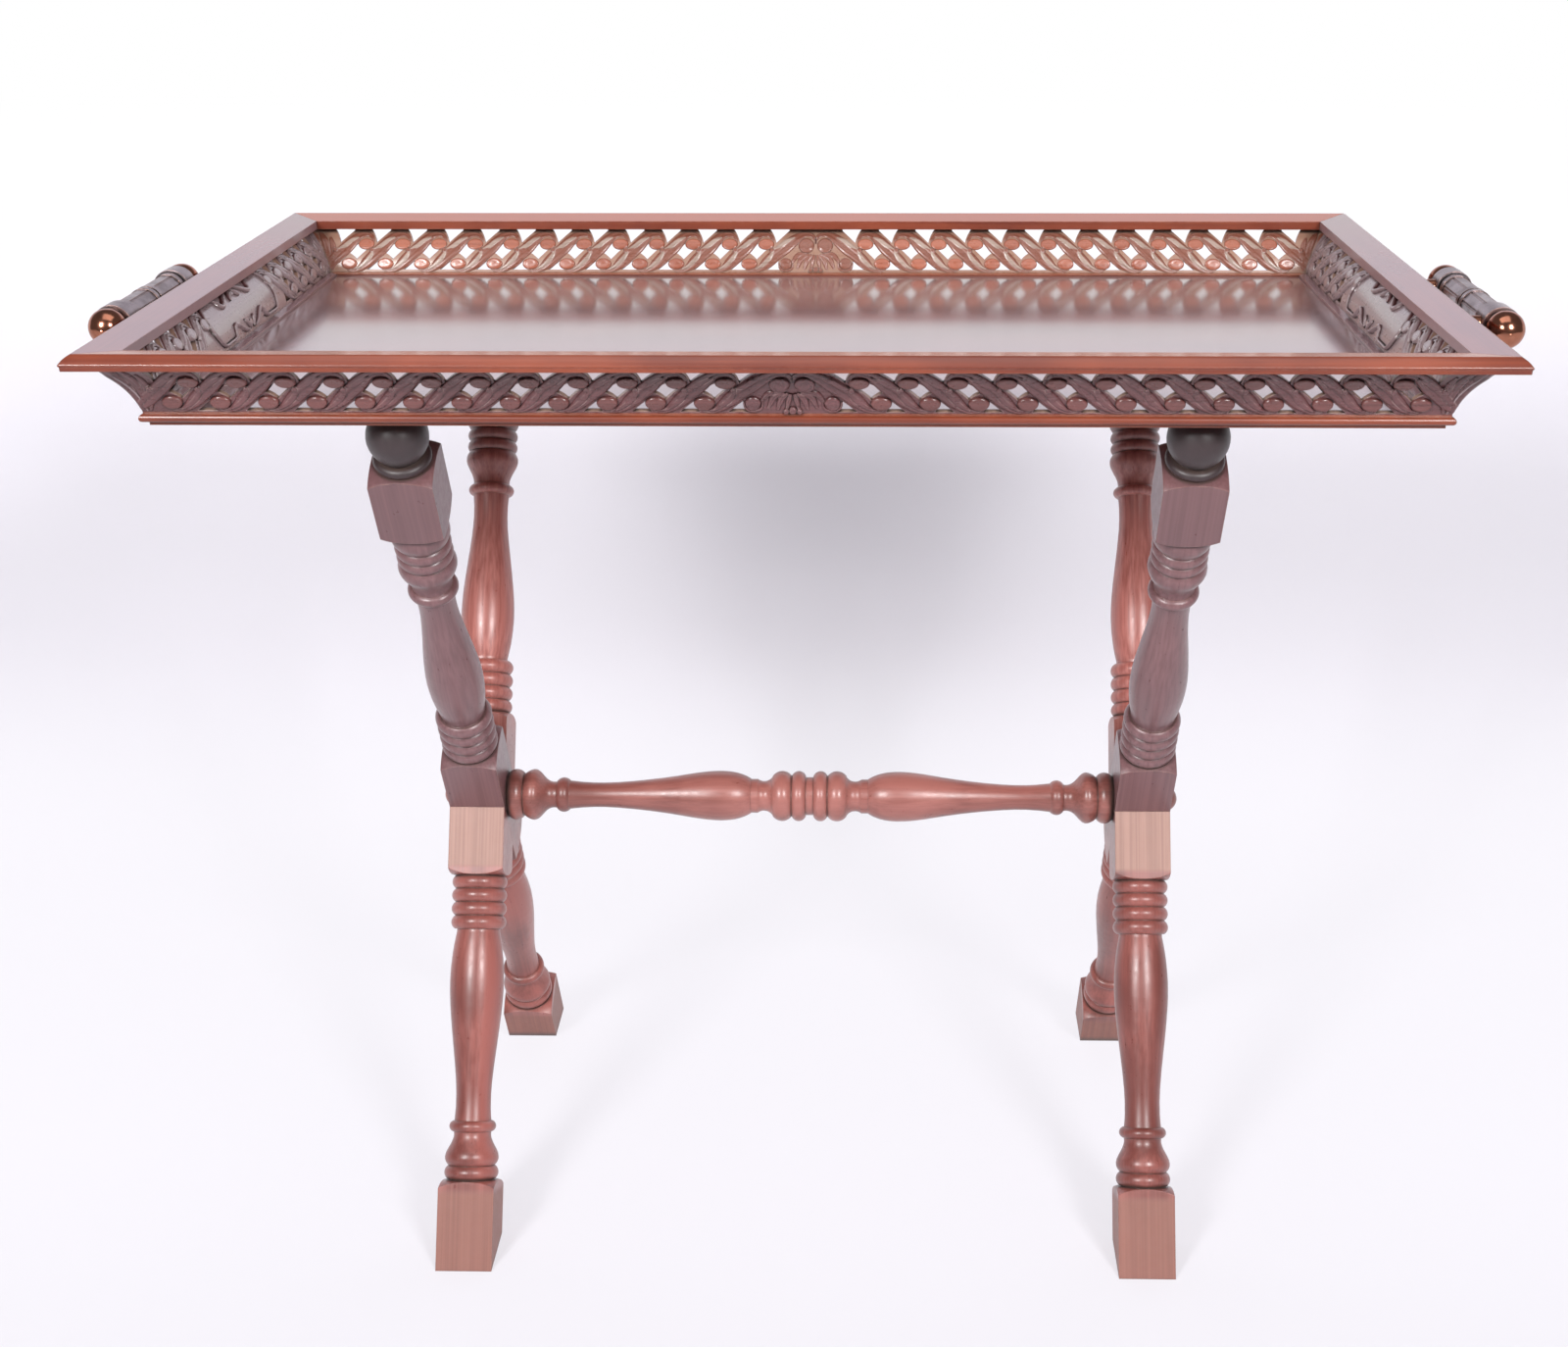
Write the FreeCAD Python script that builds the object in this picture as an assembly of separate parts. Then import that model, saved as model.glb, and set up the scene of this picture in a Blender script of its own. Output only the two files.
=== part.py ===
import FreeCAD, Part
import math
import os

# Butler's tray table: a lift-off tray with a pierced gallery on a turned cross-legged stand.
# Millimetres, +Z up, +X along the tray, origin on the floor under the middle of the stand.

V = FreeCAD.Vector
UP = V(0, 0, 1)

# Tray, seen from above, and its overall section
TRAY_LENGTH = 830.0
TRAY_WIDTH = 506.0
CUT_OVERRUN = 20.0
SAME_POINT = 0.000001

# Rim rail on top of the gallery
RIM_WIDTH = 28.0
RIM_THICKNESS = 9.0
RIM_INNER_THICKNESS = 6.2
RIM_NOSE = 6.0
RIM_UNDERCUT = 0.8
RIM_LIP_HEIGHT = 2.6
RIM_BEAD_HEIGHT = 2.0
RIM_BEAD_INSET = 0.6
BEAD_BULGE_SHARE = 0.3
NOSE_BULGE_SHARE = 0.07

# Gallery board: leaning wall with a hollow outer face
WALL_RISE = 31.5
WALL_THICKNESS = 3.6
WALL_FOOT_INSET = 33.6
WALL_TOP_INSET = 12.5
WALL_HOLLOW = 3.6

# Pierced running scroll in the gallery, on shares of one repeat and of the pierced height
SCROLL_PITCH = 28.27
SCROLL_MARGIN = 1.0
CORNER_TO_EYE = 35.95
CENTRE_TO_EYE = 44.0
PLAQUE_TO_EYE = 36.0
PIERCING_TILT = 15.0
EYE_SHARES = ((-0.248, 0.384), (0.021, 0.599), (0.248, 0.448), (-0.021, 0.231))
TOP_GAP_SHARES = ((0.283, 1.0), (0.870, 1.0), (0.863, 0.897), (0.516, 0.610))
FOOT_GAP_SHARES = ((0.269, 0.0), (0.679, 0.0), (0.573, 0.212))
EYE_BULGE_SHARE = 0.08
CURL_BULGE_SHARE = 0.06

# Base rail and bed panel
BASE_HEIGHT = 8.5
BASE_NOSE_INSET = 31.2
BASE_STEP = 2.4
BASE_FILLET_INSET = 36.0
BASE_FILLET_HEIGHT = 2.4
BASE_CAP = 1.2
LEDGE_INSET = 44.0
REBATE_WIDTH = 9.0
BED_THICKNESS = 5.0
BED_RECESS = 2.0

# Handles on the two short sides
PLAQUE_HALF_LENGTH = 72.0
PLAQUE_CORNER_CUT = 7.0
PLAQUE_EDGE = 2.5
PLAQUE_RAISE = 1.0
HANDLE_REACH = 33.0
HANDLE_RISE_SHARE = 0.62
POST_DIAMETER = 11.0
POST_FLARE_DIAMETER = 18.0
POST_FLARE_LENGTH = 9.0
GRIP_ACROSS = 20.0
GRIP_SIDES = 8
GRIP_LENGTH = 38.0
GRIP_GROOVE_DIAMETER = 1.8
MID_BAND_WIDTH = 12.0
MID_GROOVE_WIDTH = 2.4
BAND_DIAMETER = 22.0
BAND_WIDTH = 6.0
HANDLE_GROOVE_DIAMETER = 18.0
HANDLE_GROOVE_WIDTH = 2.5
COLLAR_DIAMETER = 25.0
COLLAR_WIDTH = 16.5
CAP_DIAMETER = 24.4
CAP_SEAT_WIDTH = 2.5
CAP_NECK_DIAMETER = 20.0
SCREW_DIAMETER = 4.0
SCREW_GRIP_IN_POST = 10.0
SCREW_LIFT = 3.0
SCREW_CLEARANCE = 0.15
SCREW_HEAD_DIAMETER = 7.6
SCREW_HEAD_HEIGHT = 1.4
PLUG_DIAMETER = 8.6
PLUG_DEPTH = 1.5

# Stand: two crossed frames, their lean and their distance apart
STAND_INSET = 172.5
LEG_LEAN = 29.0
LEG_SQUARE = 40.0
CROSS_HALF_LENGTH = 60.0
SHOULDER_LENGTH = 7.0
SHOULDER_DIAMETER = 38.0
SHOULDER_BULGE_SHARE = 0.12
LEG_CORE_DIAMETER = 24.0

# Turned lengths along a leg, from its crossing outwards
RING_COUNT = 4
RING_WIDTH = 9.8
RING_DIAMETER = 40.0
RING_GROOVE_DIAMETER = 34.5
VASE_FILLET = 2.0
VASE_DIAMETER = 39.0
LOWER_VASE_LENGTH = 136.0
UPPER_VASE_LENGTH = 124.0
VASE_PLACE_SHARES = (0.0, 0.13, 0.29, 0.45, 0.66, 0.85, 1.0)
VASE_SIZE_SHARES = (0.80, 0.945, 1.0, 0.93, 0.765, 0.65, 0.68)
LEG_COLLAR_WIDTH = 8.0
LEG_COLLAR_DIAMETER = 33.6
LEG_COLLAR_EDGE_DIAMETER = 27.0
LOWER_BULB_LENGTH = 23.5
UPPER_BULB_LENGTH = 25.0
BULB_DIAMETER = 38.4
BULB_PLACE_SHARES = (0.0, 0.2, 0.45, 0.72, 1.0)
BULB_SIZE_SHARES = (0.70, 0.715, 0.86, 1.0, 0.88)
THIN_RING_COUNT = 2
THIN_RING_WIDTH = 8.5
THIN_RING_DIAMETER = 37.0
THIN_RING_GROOVE_DIAMETER = 32.5
LOWER_TORUS_WIDTH = 10.5
UPPER_TORUS_WIDTH = 16.0
TORUS_DIAMETER = 38.8
TORUS_EDGE_DIAMETER = 32.5
FOOT_BLOCK_LENGTH = 51.0
TOP_BLOCK_LENGTH = 54.0
KNOB_RING_WIDTH = 6.5
KNOB_RING_DIAMETER = 36.5
KNOB_RING_EDGE_DIAMETER = 29.0
KNOB_NECK_DIAMETER = 25.0
KNOB_DIAMETER = 38.4
KNOB_SEAT_DEPTH = 0.5

# Stretcher between the two crossings, turned lengths from its ends to its middle
TENON_DIAMETER = 16.0
BUTTON_DIAMETER = 18.6
BUTTON_HEIGHT = 7.5
DISC_WIDTH = 11.5
DISC_DIAMETER = 37.6
DISC_EDGE_DIAMETER = 31.5
END_BULB_LENGTH = 24.5
END_BULB_DIAMETER = 37.4
END_BULB_PLACE_SHARES = (0.0, 0.12, 0.30, 0.48, 0.66, 0.85, 1.0)
END_BULB_SIZE_SHARES = (0.53, 0.51, 0.60, 0.84, 1.0, 0.95, 0.80)
END_RING_WIDTH = 9.5
END_RING_DIAMETER = 25.6
END_RING_EDGE_DIAMETER = 21.0
LONG_VASE_DIAMETER = 36.6
LONG_VASE_PLACE_SHARES = (0.0, 0.12, 0.36, 0.60, 0.82, 0.93, 1.0)
LONG_VASE_SIZE_SHARES = (0.575, 0.50, 0.575, 0.80, 1.0, 0.92, 0.70)
MID_FILLET_WIDTH = 5.0
MID_FILLET_DIAMETER = 25.0
MID_COVE_WIDTH = 11.0
MID_COVE_DIAMETER = 22.0
MID_COVE_EDGE_DIAMETER = 29.0
MID_INNER_BEAD_WIDTH = 10.4
MID_OUTER_BEAD_WIDTH = 14.0
MID_BEAD_DIAMETER = 37.0
MID_BEAD_EDGE_DIAMETER = 30.0
MID_GAP_WIDTH = 5.6
MID_GAP_DIAMETER = 28.0

# Worked-out lengths of the stand
LEG_SPACING = TRAY_LENGTH - 2 * STAND_INSET
LEAN_COS = math.cos(math.radians(LEG_LEAN))
VASE_START = CROSS_HALF_LENGTH + RING_COUNT * RING_WIDTH + VASE_FILLET
LOWER_BULB_START = VASE_START + LOWER_VASE_LENGTH + LEG_COLLAR_WIDTH
UPPER_BULB_START = VASE_START + UPPER_VASE_LENGTH + LEG_COLLAR_WIDTH
FOOT_BLOCK_START = LOWER_BULB_START + LOWER_BULB_LENGTH + LOWER_TORUS_WIDTH
UPPER_TORUS_START = UPPER_BULB_START + UPPER_BULB_LENGTH + THIN_RING_COUNT * THIN_RING_WIDTH
TOP_BLOCK_START = UPPER_TORUS_START + UPPER_TORUS_WIDTH
KNOB_RING_START = TOP_BLOCK_START + TOP_BLOCK_LENGTH
KNOB_START = KNOB_RING_START + KNOB_RING_WIDTH
KNOB_CENTRE = KNOB_START + math.sqrt(KNOB_DIAMETER ** 2 - KNOB_NECK_DIAMETER ** 2) / 2
CROSSING_HEIGHT = (FOOT_BLOCK_START + FOOT_BLOCK_LENGTH) * LEAN_COS
SEAT_HEIGHT = CROSSING_HEIGHT + KNOB_CENTRE * LEAN_COS + KNOB_DIAMETER / 2 - KNOB_SEAT_DEPTH

# Worked-out levels of the tray
BASE_LEVEL = SEAT_HEIGHT - BED_RECESS
WALL_LEVEL = BASE_LEVEL + BASE_HEIGHT
RIM_LEVEL = WALL_LEVEL + WALL_RISE
HANDLE_LEVEL = WALL_LEVEL + WALL_RISE * HANDLE_RISE_SHARE
WALL_DRAW = WALL_FOOT_INSET - WALL_TOP_INSET
WALL_SLANT = math.hypot(WALL_RISE, WALL_DRAW)
HOLLOW_TURN = math.atan(4 * WALL_HOLLOW * (2 * HANDLE_RISE_SHARE - 1) / WALL_SLANT)
WALL_TILT = math.degrees(math.atan2(WALL_DRAW, WALL_RISE) + HOLLOW_TURN)
WALL_DEPTH = (WALL_THICKNESS + PLAQUE_RAISE) * math.cos(math.radians(WALL_TILT))

# Worked-out places along a half handle bar
PANEL_START = MID_BAND_WIDTH / 2
BAND_START = PANEL_START + GRIP_LENGTH
HANDLE_GROOVE_START = BAND_START + BAND_WIDTH
COLLAR_START = HANDLE_GROOVE_START + HANDLE_GROOVE_WIDTH
CAP_START = COLLAR_START + COLLAR_WIDTH
POST_PLACE = COLLAR_START + COLLAR_WIDTH / 2
HANDLE_DISTANCE = TRAY_LENGTH / 2 + HANDLE_REACH


def outline(place, start, steps):
    """Face from a start point and steps: a point, a pair (on the arc, its end) or a list for a spline."""
    edges = []
    here = place(*start)
    for step in steps:
        if isinstance(step, list):
            points = [here] + [place(*point) for point in step]
            curve = Part.BSplineCurve()
            curve.interpolate(points)
            edges.append(curve.toShape())
            here = points[-1]
        elif isinstance(step[0], tuple):
            end = place(*step[1])
            edges.append(Part.Arc(here, place(*step[0]), end).toShape())
            here = end
        else:
            end = place(*step)
            if not end.isEqual(here, SAME_POINT):
                edges.append(Part.makeLine(here, end))
            here = end
    return Part.Face(Part.Wire(edges))


def bulged(start, end, share):
    """Arc step from start to end whose middle lies to the left by a share of the chord."""
    across = (end[0] - start[0], end[1] - start[1])
    middle = ((start[0] + end[0]) / 2 - across[1] * share, (start[1] + end[1]) / 2 + across[0] * share)
    return (middle, end)


def turned(steps, end):
    """Solid of revolution about Z from profile steps of (station, radius), from station 0 to end."""
    face = outline(lambda station, radius: V(radius, 0, station), (0, 0), steps + [(end, 0), (0, 0)])
    return face.revolve(V(0, 0, 0), UP, 360)


def bead(start, width, edge_diameter, top_diameter):
    """Rounded ring in a turned profile."""
    edge = edge_diameter / 2
    return [(start, edge), ((start + width / 2, top_diameter / 2), (start + width, edge))]


def swell(start, length, diameter, places, sizes):
    """Flowing curve in a turned profile, from shares of its length and diameter."""
    points = [(start + length * place, diameter / 2 * size) for place, size in zip(places, sizes)]
    return [points[0], points[1:]]


def rail(section_start, section_steps, length, half_depth, level):
    """Mitred rail along the front of a frame, from a section in inset from its outside and height."""
    place = lambda inset, height: V(-length / 2, inset - half_depth, level + height)
    bar = outline(place, section_start, section_steps).extrude(V(length, 0, 0))
    flat = lambda x, y: V(x, y, level - CUT_OVERRUN)
    start = (-length / 2, -half_depth)
    between_mitres = outline(flat, start, [(length / 2, -half_depth), (0, length / 2 - half_depth), start])
    return bar.common(between_mitres.extrude(V(0, 0, RIM_LEVEL - BASE_LEVEL + 2 * CUT_OVERRUN)))


def on_four_sides(make):
    """Front, back, left and right copies of a piece made for the front of a frame."""
    long_side = make(TRAY_LENGTH, TRAY_WIDTH / 2)
    short_side = make(TRAY_WIDTH, TRAY_LENGTH / 2)
    turns = (("front", long_side, 0), ("back", long_side, 180),
             ("left", short_side, -90), ("right", short_side, 90))
    sides = {}
    for side, piece, angle in turns:
        copy = piece.copy()
        copy.rotate(V(0, 0, 0), UP, angle)
        sides[side] = copy
    return sides


def rim_rail(length, half_depth):
    """Flat rail that falls inwards, with a sloped outer nose over a small bead."""
    lip = (RIM_BEAD_INSET, RIM_LIP_HEIGHT)
    nose = (RIM_BEAD_INSET, RIM_LIP_HEIGHT + RIM_BEAD_HEIGHT)
    top = (RIM_NOSE, RIM_THICKNESS)
    steps = [lip, bulged(lip, nose, BEAD_BULGE_SHARE), bulged(nose, top, NOSE_BULGE_SHARE),
             (RIM_WIDTH, RIM_INNER_THICKNESS), (RIM_WIDTH, 0), (RIM_UNDERCUT, 0)]
    return rail((RIM_UNDERCUT, 0), steps, length, half_depth, RIM_LEVEL)


def base_rail(length, half_depth):
    """Moulded rail with a bull nose over a stepped-in fillet, rebated inside for the bed."""
    waist = BASE_NOSE_INSET + BASE_STEP
    nose_middle = (BASE_FILLET_HEIGHT + BASE_HEIGHT - BASE_CAP) / 2
    lip = LEDGE_INSET + REBATE_WIDTH
    steps = [(BASE_FILLET_INSET, BASE_FILLET_HEIGHT), (waist, BASE_FILLET_HEIGHT),
             ((BASE_NOSE_INSET, nose_middle), (waist, BASE_HEIGHT - BASE_CAP)), (waist, BASE_HEIGHT),
             (LEDGE_INSET, BASE_HEIGHT), (LEDGE_INSET, BED_RECESS), (lip, BED_RECESS),
             (lip, 0), (BASE_FILLET_INSET, 0)]
    return rail((BASE_FILLET_INSET, 0), steps, length, half_depth, BASE_LEVEL)


def wall_steps(outer_shift, inner_shift):
    """Section of the leaning gallery board, between two horizontal shifts from its outer face."""
    foot_out = (WALL_FOOT_INSET + outer_shift, 0)
    top_out = (WALL_TOP_INSET + outer_shift, WALL_RISE)
    foot_in = (WALL_FOOT_INSET + inner_shift, 0)
    top_in = (WALL_TOP_INSET + inner_shift, WALL_RISE)
    hollow_share = WALL_HOLLOW / WALL_SLANT
    return foot_out, [bulged(foot_out, top_out, -hollow_share), top_in,
                      bulged(top_in, foot_in, hollow_share), foot_out]


def pierced_hole(place, middle, turn, outline_shares, bulges):
    """Prism through the gallery from the corner shares of one opening of the running scroll."""
    height = WALL_SLANT - 2 * SCROLL_MARGIN
    points = [(middle + turn * SCROLL_PITCH * u, SCROLL_MARGIN + height * v) for u, v in outline_shares]
    ends = points[1:] + points[:1]
    steps = []
    for start, end, bulge in zip(points, ends, bulges):
        steps.append(bulged(start, end, turn * bulge) if bulge else end)
    return outline(place, points[0], steps)


def wall_place(half_depth, tilt):
    """Map from along and up a front board's slope to a point before it, and a vector through the board,
    tilted down from square to the slope."""
    along = V(0, -WALL_DRAW, WALL_RISE) / WALL_SLANT
    square = V(0, WALL_RISE, WALL_DRAW) / WALL_SLANT
    through = square - along * math.tan(math.radians(tilt))
    foot = V(0, WALL_FOOT_INSET - half_depth, WALL_LEVEL)
    depth = WALL_THICKNESS + WALL_HOLLOW + CUT_OVERRUN
    place = lambda u, v: foot + V(u, 0, 0) + along * v - through * depth / 2
    return place, through * depth


def scroll_cutters(half_depth, first_eye, last_eye):
    """All openings of one gallery board, mirrored about its middle, as prisms through it."""
    place, through = wall_place(half_depth, PIERCING_TILT)
    eye_bulges = (EYE_BULGE_SHARE, 0, 0, -CURL_BULGE_SHARE)
    top_bulges = (0, 0, 0, -CURL_BULGE_SHARE)
    foot_bulges = (0, CURL_BULGE_SHARE, 0)
    repeats = int(round((last_eye - first_eye) / SCROLL_PITCH))
    faces = []
    for turn in (1, -1):
        for repeat in range(repeats + 1):
            middle = -turn * (first_eye + repeat * SCROLL_PITCH)
            faces.append(pierced_hole(place, middle, turn, EYE_SHARES, eye_bulges))
            faces.append(pierced_hole(place, middle, turn, TOP_GAP_SHARES, top_bulges))
            faces.append(pierced_hole(place, middle, turn, FOOT_GAP_SHARES, foot_bulges))
        corner = -turn * (first_eye + (repeats + 1) * SCROLL_PITCH)
        faces.append(pierced_hole(place, corner, turn, TOP_GAP_SHARES, top_bulges))
    return Part.makeCompound([face.extrude(through) for face in faces])


def plaque(length, half_depth):
    """Raised field with rounded ends in the middle of a short gallery board, on both of its faces."""
    start, steps = wall_steps(-PLAQUE_RAISE, WALL_THICKNESS + PLAQUE_RAISE)
    slab = rail(start, steps, length, half_depth, WALL_LEVEL)
    low = PLAQUE_EDGE
    high = WALL_SLANT - PLAQUE_EDGE
    corner = PLAQUE_HALF_LENGTH - PLAQUE_CORNER_CUT
    middle = WALL_SLANT / 2
    steps = [(corner, low), ((PLAQUE_HALF_LENGTH, middle), (corner, high)), (-corner, high),
             ((-PLAQUE_HALF_LENGTH, middle), (-corner, low))]
    place, through = wall_place(half_depth, 0)
    return slab.common(outline(place, (-corner, low), steps).extrude(through))


def gallery_board(length, half_depth):
    """Leaning board, pierced with the running scroll from its corners to its middle motif."""
    start, steps = wall_steps(0, WALL_THICKNESS)
    board = rail(start, steps, length, half_depth, WALL_LEVEL)
    last_eye = length / 2 - WALL_FOOT_INSET + WALL_DRAW / 2 - CORNER_TO_EYE
    first_eye = CENTRE_TO_EYE
    if length < TRAY_LENGTH:
        first_eye = PLAQUE_HALF_LENGTH + PLAQUE_TO_EYE
        board = board.fuse(plaque(length, half_depth))
    repeats = int((last_eye - first_eye) / SCROLL_PITCH)
    first_eye = last_eye - repeats * SCROLL_PITCH
    return board.cut(scroll_cutters(half_depth, first_eye, last_eye))


def bed_panel():
    """Flat panel let into the rebate of the base rails."""
    length = TRAY_LENGTH - 2 * LEDGE_INSET
    width = TRAY_WIDTH - 2 * LEDGE_INSET
    return Part.makeBox(length, width, BED_THICKNESS, V(-length / 2, -width / 2, SEAT_HEIGHT))


def at_right_handle(piece):
    """Lay a handle piece made about Z along the bar's axis on the right side."""
    piece.rotate(V(0, 0, 0), V(1, 0, 0), -90)
    piece.translate(V(HANDLE_DISTANCE, 0, HANDLE_LEVEL))
    return piece


def cylinder(diameter, start, length):
    """Round bar about Z from one station."""
    return Part.makeCylinder(diameter / 2, length, V(0, 0, start))


def grip_panel(start):
    """Panelled length of a handle's bar, flat sided with a groove along each corner."""
    radius = GRIP_ACROSS / 2 / math.cos(math.pi / GRIP_SIDES)
    corners = []
    for side in range(GRIP_SIDES + 1):
        angle = (2 * side + 1) * math.pi / GRIP_SIDES
        corners.append(V(radius * math.cos(angle), radius * math.sin(angle), start))
    panel = Part.Face(Part.makePolygon(corners)).extrude(V(0, 0, GRIP_LENGTH))
    grooves = [Part.makeCylinder(GRIP_GROOVE_DIAMETER / 2, GRIP_LENGTH, corner) for corner in corners[1:]]
    return panel.cut(Part.makeCompound(grooves))


def handle_bar():
    """Bar with a double band in its middle, two panelled grips and a thick collar at each end."""
    bar = cylinder(HANDLE_GROOVE_DIAMETER, -PANEL_START, MID_BAND_WIDTH)
    for turn in (0, 180):
        half = grip_panel(PANEL_START)
        half = half.fuse(cylinder(BAND_DIAMETER, MID_GROOVE_WIDTH / 2, PANEL_START - MID_GROOVE_WIDTH / 2))
        half = half.fuse(cylinder(BAND_DIAMETER, BAND_START, BAND_WIDTH))
        half = half.fuse(cylinder(HANDLE_GROOVE_DIAMETER, HANDLE_GROOVE_START, HANDLE_GROOVE_WIDTH))
        half = half.fuse(cylinder(COLLAR_DIAMETER, COLLAR_START, COLLAR_WIDTH))
        half.rotate(V(0, 0, 0), V(1, 0, 0), turn)
        bar = bar.fuse(half)
    return bar.removeSplitter()


def handle_caps():
    """Two domed ends, each a ball on a short neck against its collar."""
    neck = CAP_NECK_DIAMETER / 2
    ball = CAP_DIAMETER / 2
    ball_start = CAP_START + CAP_SEAT_WIDTH
    centre = ball_start + math.sqrt(ball ** 2 - neck ** 2)
    caps = []
    for turn in (0, 180):
        cap = Part.makeSphere(ball, V(0, 0, centre))
        cap = cap.cut(cylinder(COLLAR_DIAMETER + CUT_OVERRUN, ball_start - CUT_OVERRUN, CUT_OVERRUN))
        cap = cap.fuse(cylinder(CAP_NECK_DIAMETER, CAP_START, CAP_SEAT_WIDTH))
        cap.rotate(V(0, 0, 0), V(1, 0, 0), turn)
        caps.append(cap)
    return Part.makeCompound(caps)


def right_wall(outer_shift, inner_shift):
    """Unpierced slice of the right gallery board, used to seat what is fixed to it."""
    start, steps = wall_steps(outer_shift, inner_shift)
    wall = rail(start, steps, TRAY_WIDTH, TRAY_LENGTH / 2, WALL_LEVEL)
    wall.rotate(V(0, 0, 0), UP, 90)
    return wall


def at_posts(make):
    """Copies of a piece made about X at the right handle's level, at its two posts."""
    pieces = []
    for side in (-1, 1):
        piece = make()
        piece.translate(V(0, side * POST_PLACE, HANDLE_LEVEL))
        pieces.append(piece)
    return pieces


def bar_along_x(diameter, start, end):
    """Round bar about X between two places."""
    return Part.makeCylinder(diameter / 2, end - start, V(start, 0, 0), V(1, 0, 0))


def wall_face_x(level):
    """Place along X of the right gallery's outer face at one level."""
    place = V(0, 0, level)
    wall = right_wall(0, WALL_THICKNESS)
    line = Part.makeLine(place, place + V(TRAY_LENGTH, 0, 0))
    return wall.common(line).BoundBox.XMax


def at_screws(make):
    """Copies of a piece made about X, square to the right gallery's outer face at the two posts."""
    level = HANDLE_LEVEL + SCREW_LIFT
    pieces = []
    for side in (-1, 1):
        piece = make()
        piece.rotate(V(0, 0, 0), V(0, 1, 0), WALL_TILT)
        piece.translate(V(wall_face_x(level), side * POST_PLACE, level))
        pieces.append(piece)
    return pieces


def one_post():
    """Post from the bar's collar to the gallery, flared at its foot."""
    face = wall_face_x(HANDLE_LEVEL)
    flare = Part.makeCone(POST_FLARE_DIAMETER / 2, POST_DIAMETER / 2, POST_FLARE_LENGTH,
                          V(face, 0, 0), V(1, 0, 0))
    post = bar_along_x(POST_DIAMETER, face, HANDLE_DISTANCE)
    root = bar_along_x(POST_FLARE_DIAMETER, face - WALL_THICKNESS, face)
    return post.fuse(flare).fuse(root)


def handle_posts():
    """Two posts cut to seat on the collars and on the leaning gallery, drilled for their screws."""
    inside = right_wall(-PLAQUE_RAISE, WALL_THICKNESS + CUT_OVERRUN)
    collar = at_right_handle(cylinder(COLLAR_DIAMETER, -CAP_START, 2 * CAP_START))
    drill = SCREW_DIAMETER + 2 * SCREW_CLEARANCE
    bores = at_screws(lambda: bar_along_x(drill, -CUT_OVERRUN, SCREW_GRIP_IN_POST))
    posts = []
    for post, bore in zip(at_posts(one_post), bores):
        posts.append(post.cut(inside).cut(collar).cut(bore))
    return posts


def one_screw():
    """Round-headed screw from under its plug into the post."""
    head_start = PLUG_DEPTH - WALL_DEPTH
    head_end = head_start + SCREW_HEAD_HEIGHT
    head = bar_along_x(SCREW_HEAD_DIAMETER, head_start, head_end)
    return head.fuse(bar_along_x(SCREW_DIAMETER, head_end, SCREW_GRIP_IN_POST))


def screw_holes():
    """Drilled and counterbored holes through the right gallery for the handle screws."""
    head_end = PLUG_DEPTH + SCREW_HEAD_HEIGHT - WALL_DEPTH
    drill = SCREW_DIAMETER + 2 * SCREW_CLEARANCE
    shanks = at_screws(lambda: bar_along_x(drill, -WALL_DEPTH, CUT_OVERRUN))
    sinks = at_screws(lambda: bar_along_x(PLUG_DIAMETER, -WALL_DEPTH - CUT_OVERRUN, head_end))
    return Part.makeCompound(shanks + sinks)


def screw_plugs():
    """Wooden plugs over the screw heads, planed to the gallery's inner face."""
    board = right_wall(0, WALL_THICKNESS + PLAQUE_RAISE)
    rods = at_screws(lambda: bar_along_x(PLUG_DIAMETER, -WALL_DEPTH - CUT_OVERRUN, PLUG_DEPTH - WALL_DEPTH))
    return Part.makeCompound([rod.common(board) for rod in rods])


def square_block(start, end, shouldered_start, shouldered_end):
    """Square length of a leg whose ends are shouldered by the turning."""
    half = LEG_SQUARE / 2
    corner = half * math.sqrt(2) + SHOULDER_LENGTH
    box = Part.makeBox(LEG_SQUARE, LEG_SQUARE, end - start, V(-half, -half, start))
    low = SHOULDER_DIAMETER / 2
    reach = 2 * SHOULDER_LENGTH
    steps = [(start, corner), (end, corner)]
    if shouldered_start:
        steps = [(start, low), bulged((start, low), (start + reach, corner), SHOULDER_BULGE_SHARE)]
        steps.append((end, corner))
    if shouldered_end:
        steps[-1] = (end - reach, corner)
        steps.append(bulged((end - reach, corner), (end, low), SHOULDER_BULGE_SHARE))
    place = lambda station, radius: V(radius, 0, station)
    barrel = outline(place, (start, 0), steps + [(end, 0), (start, 0)]).revolve(V(0, 0, 0), UP, 360)
    return box.common(barrel)


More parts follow.
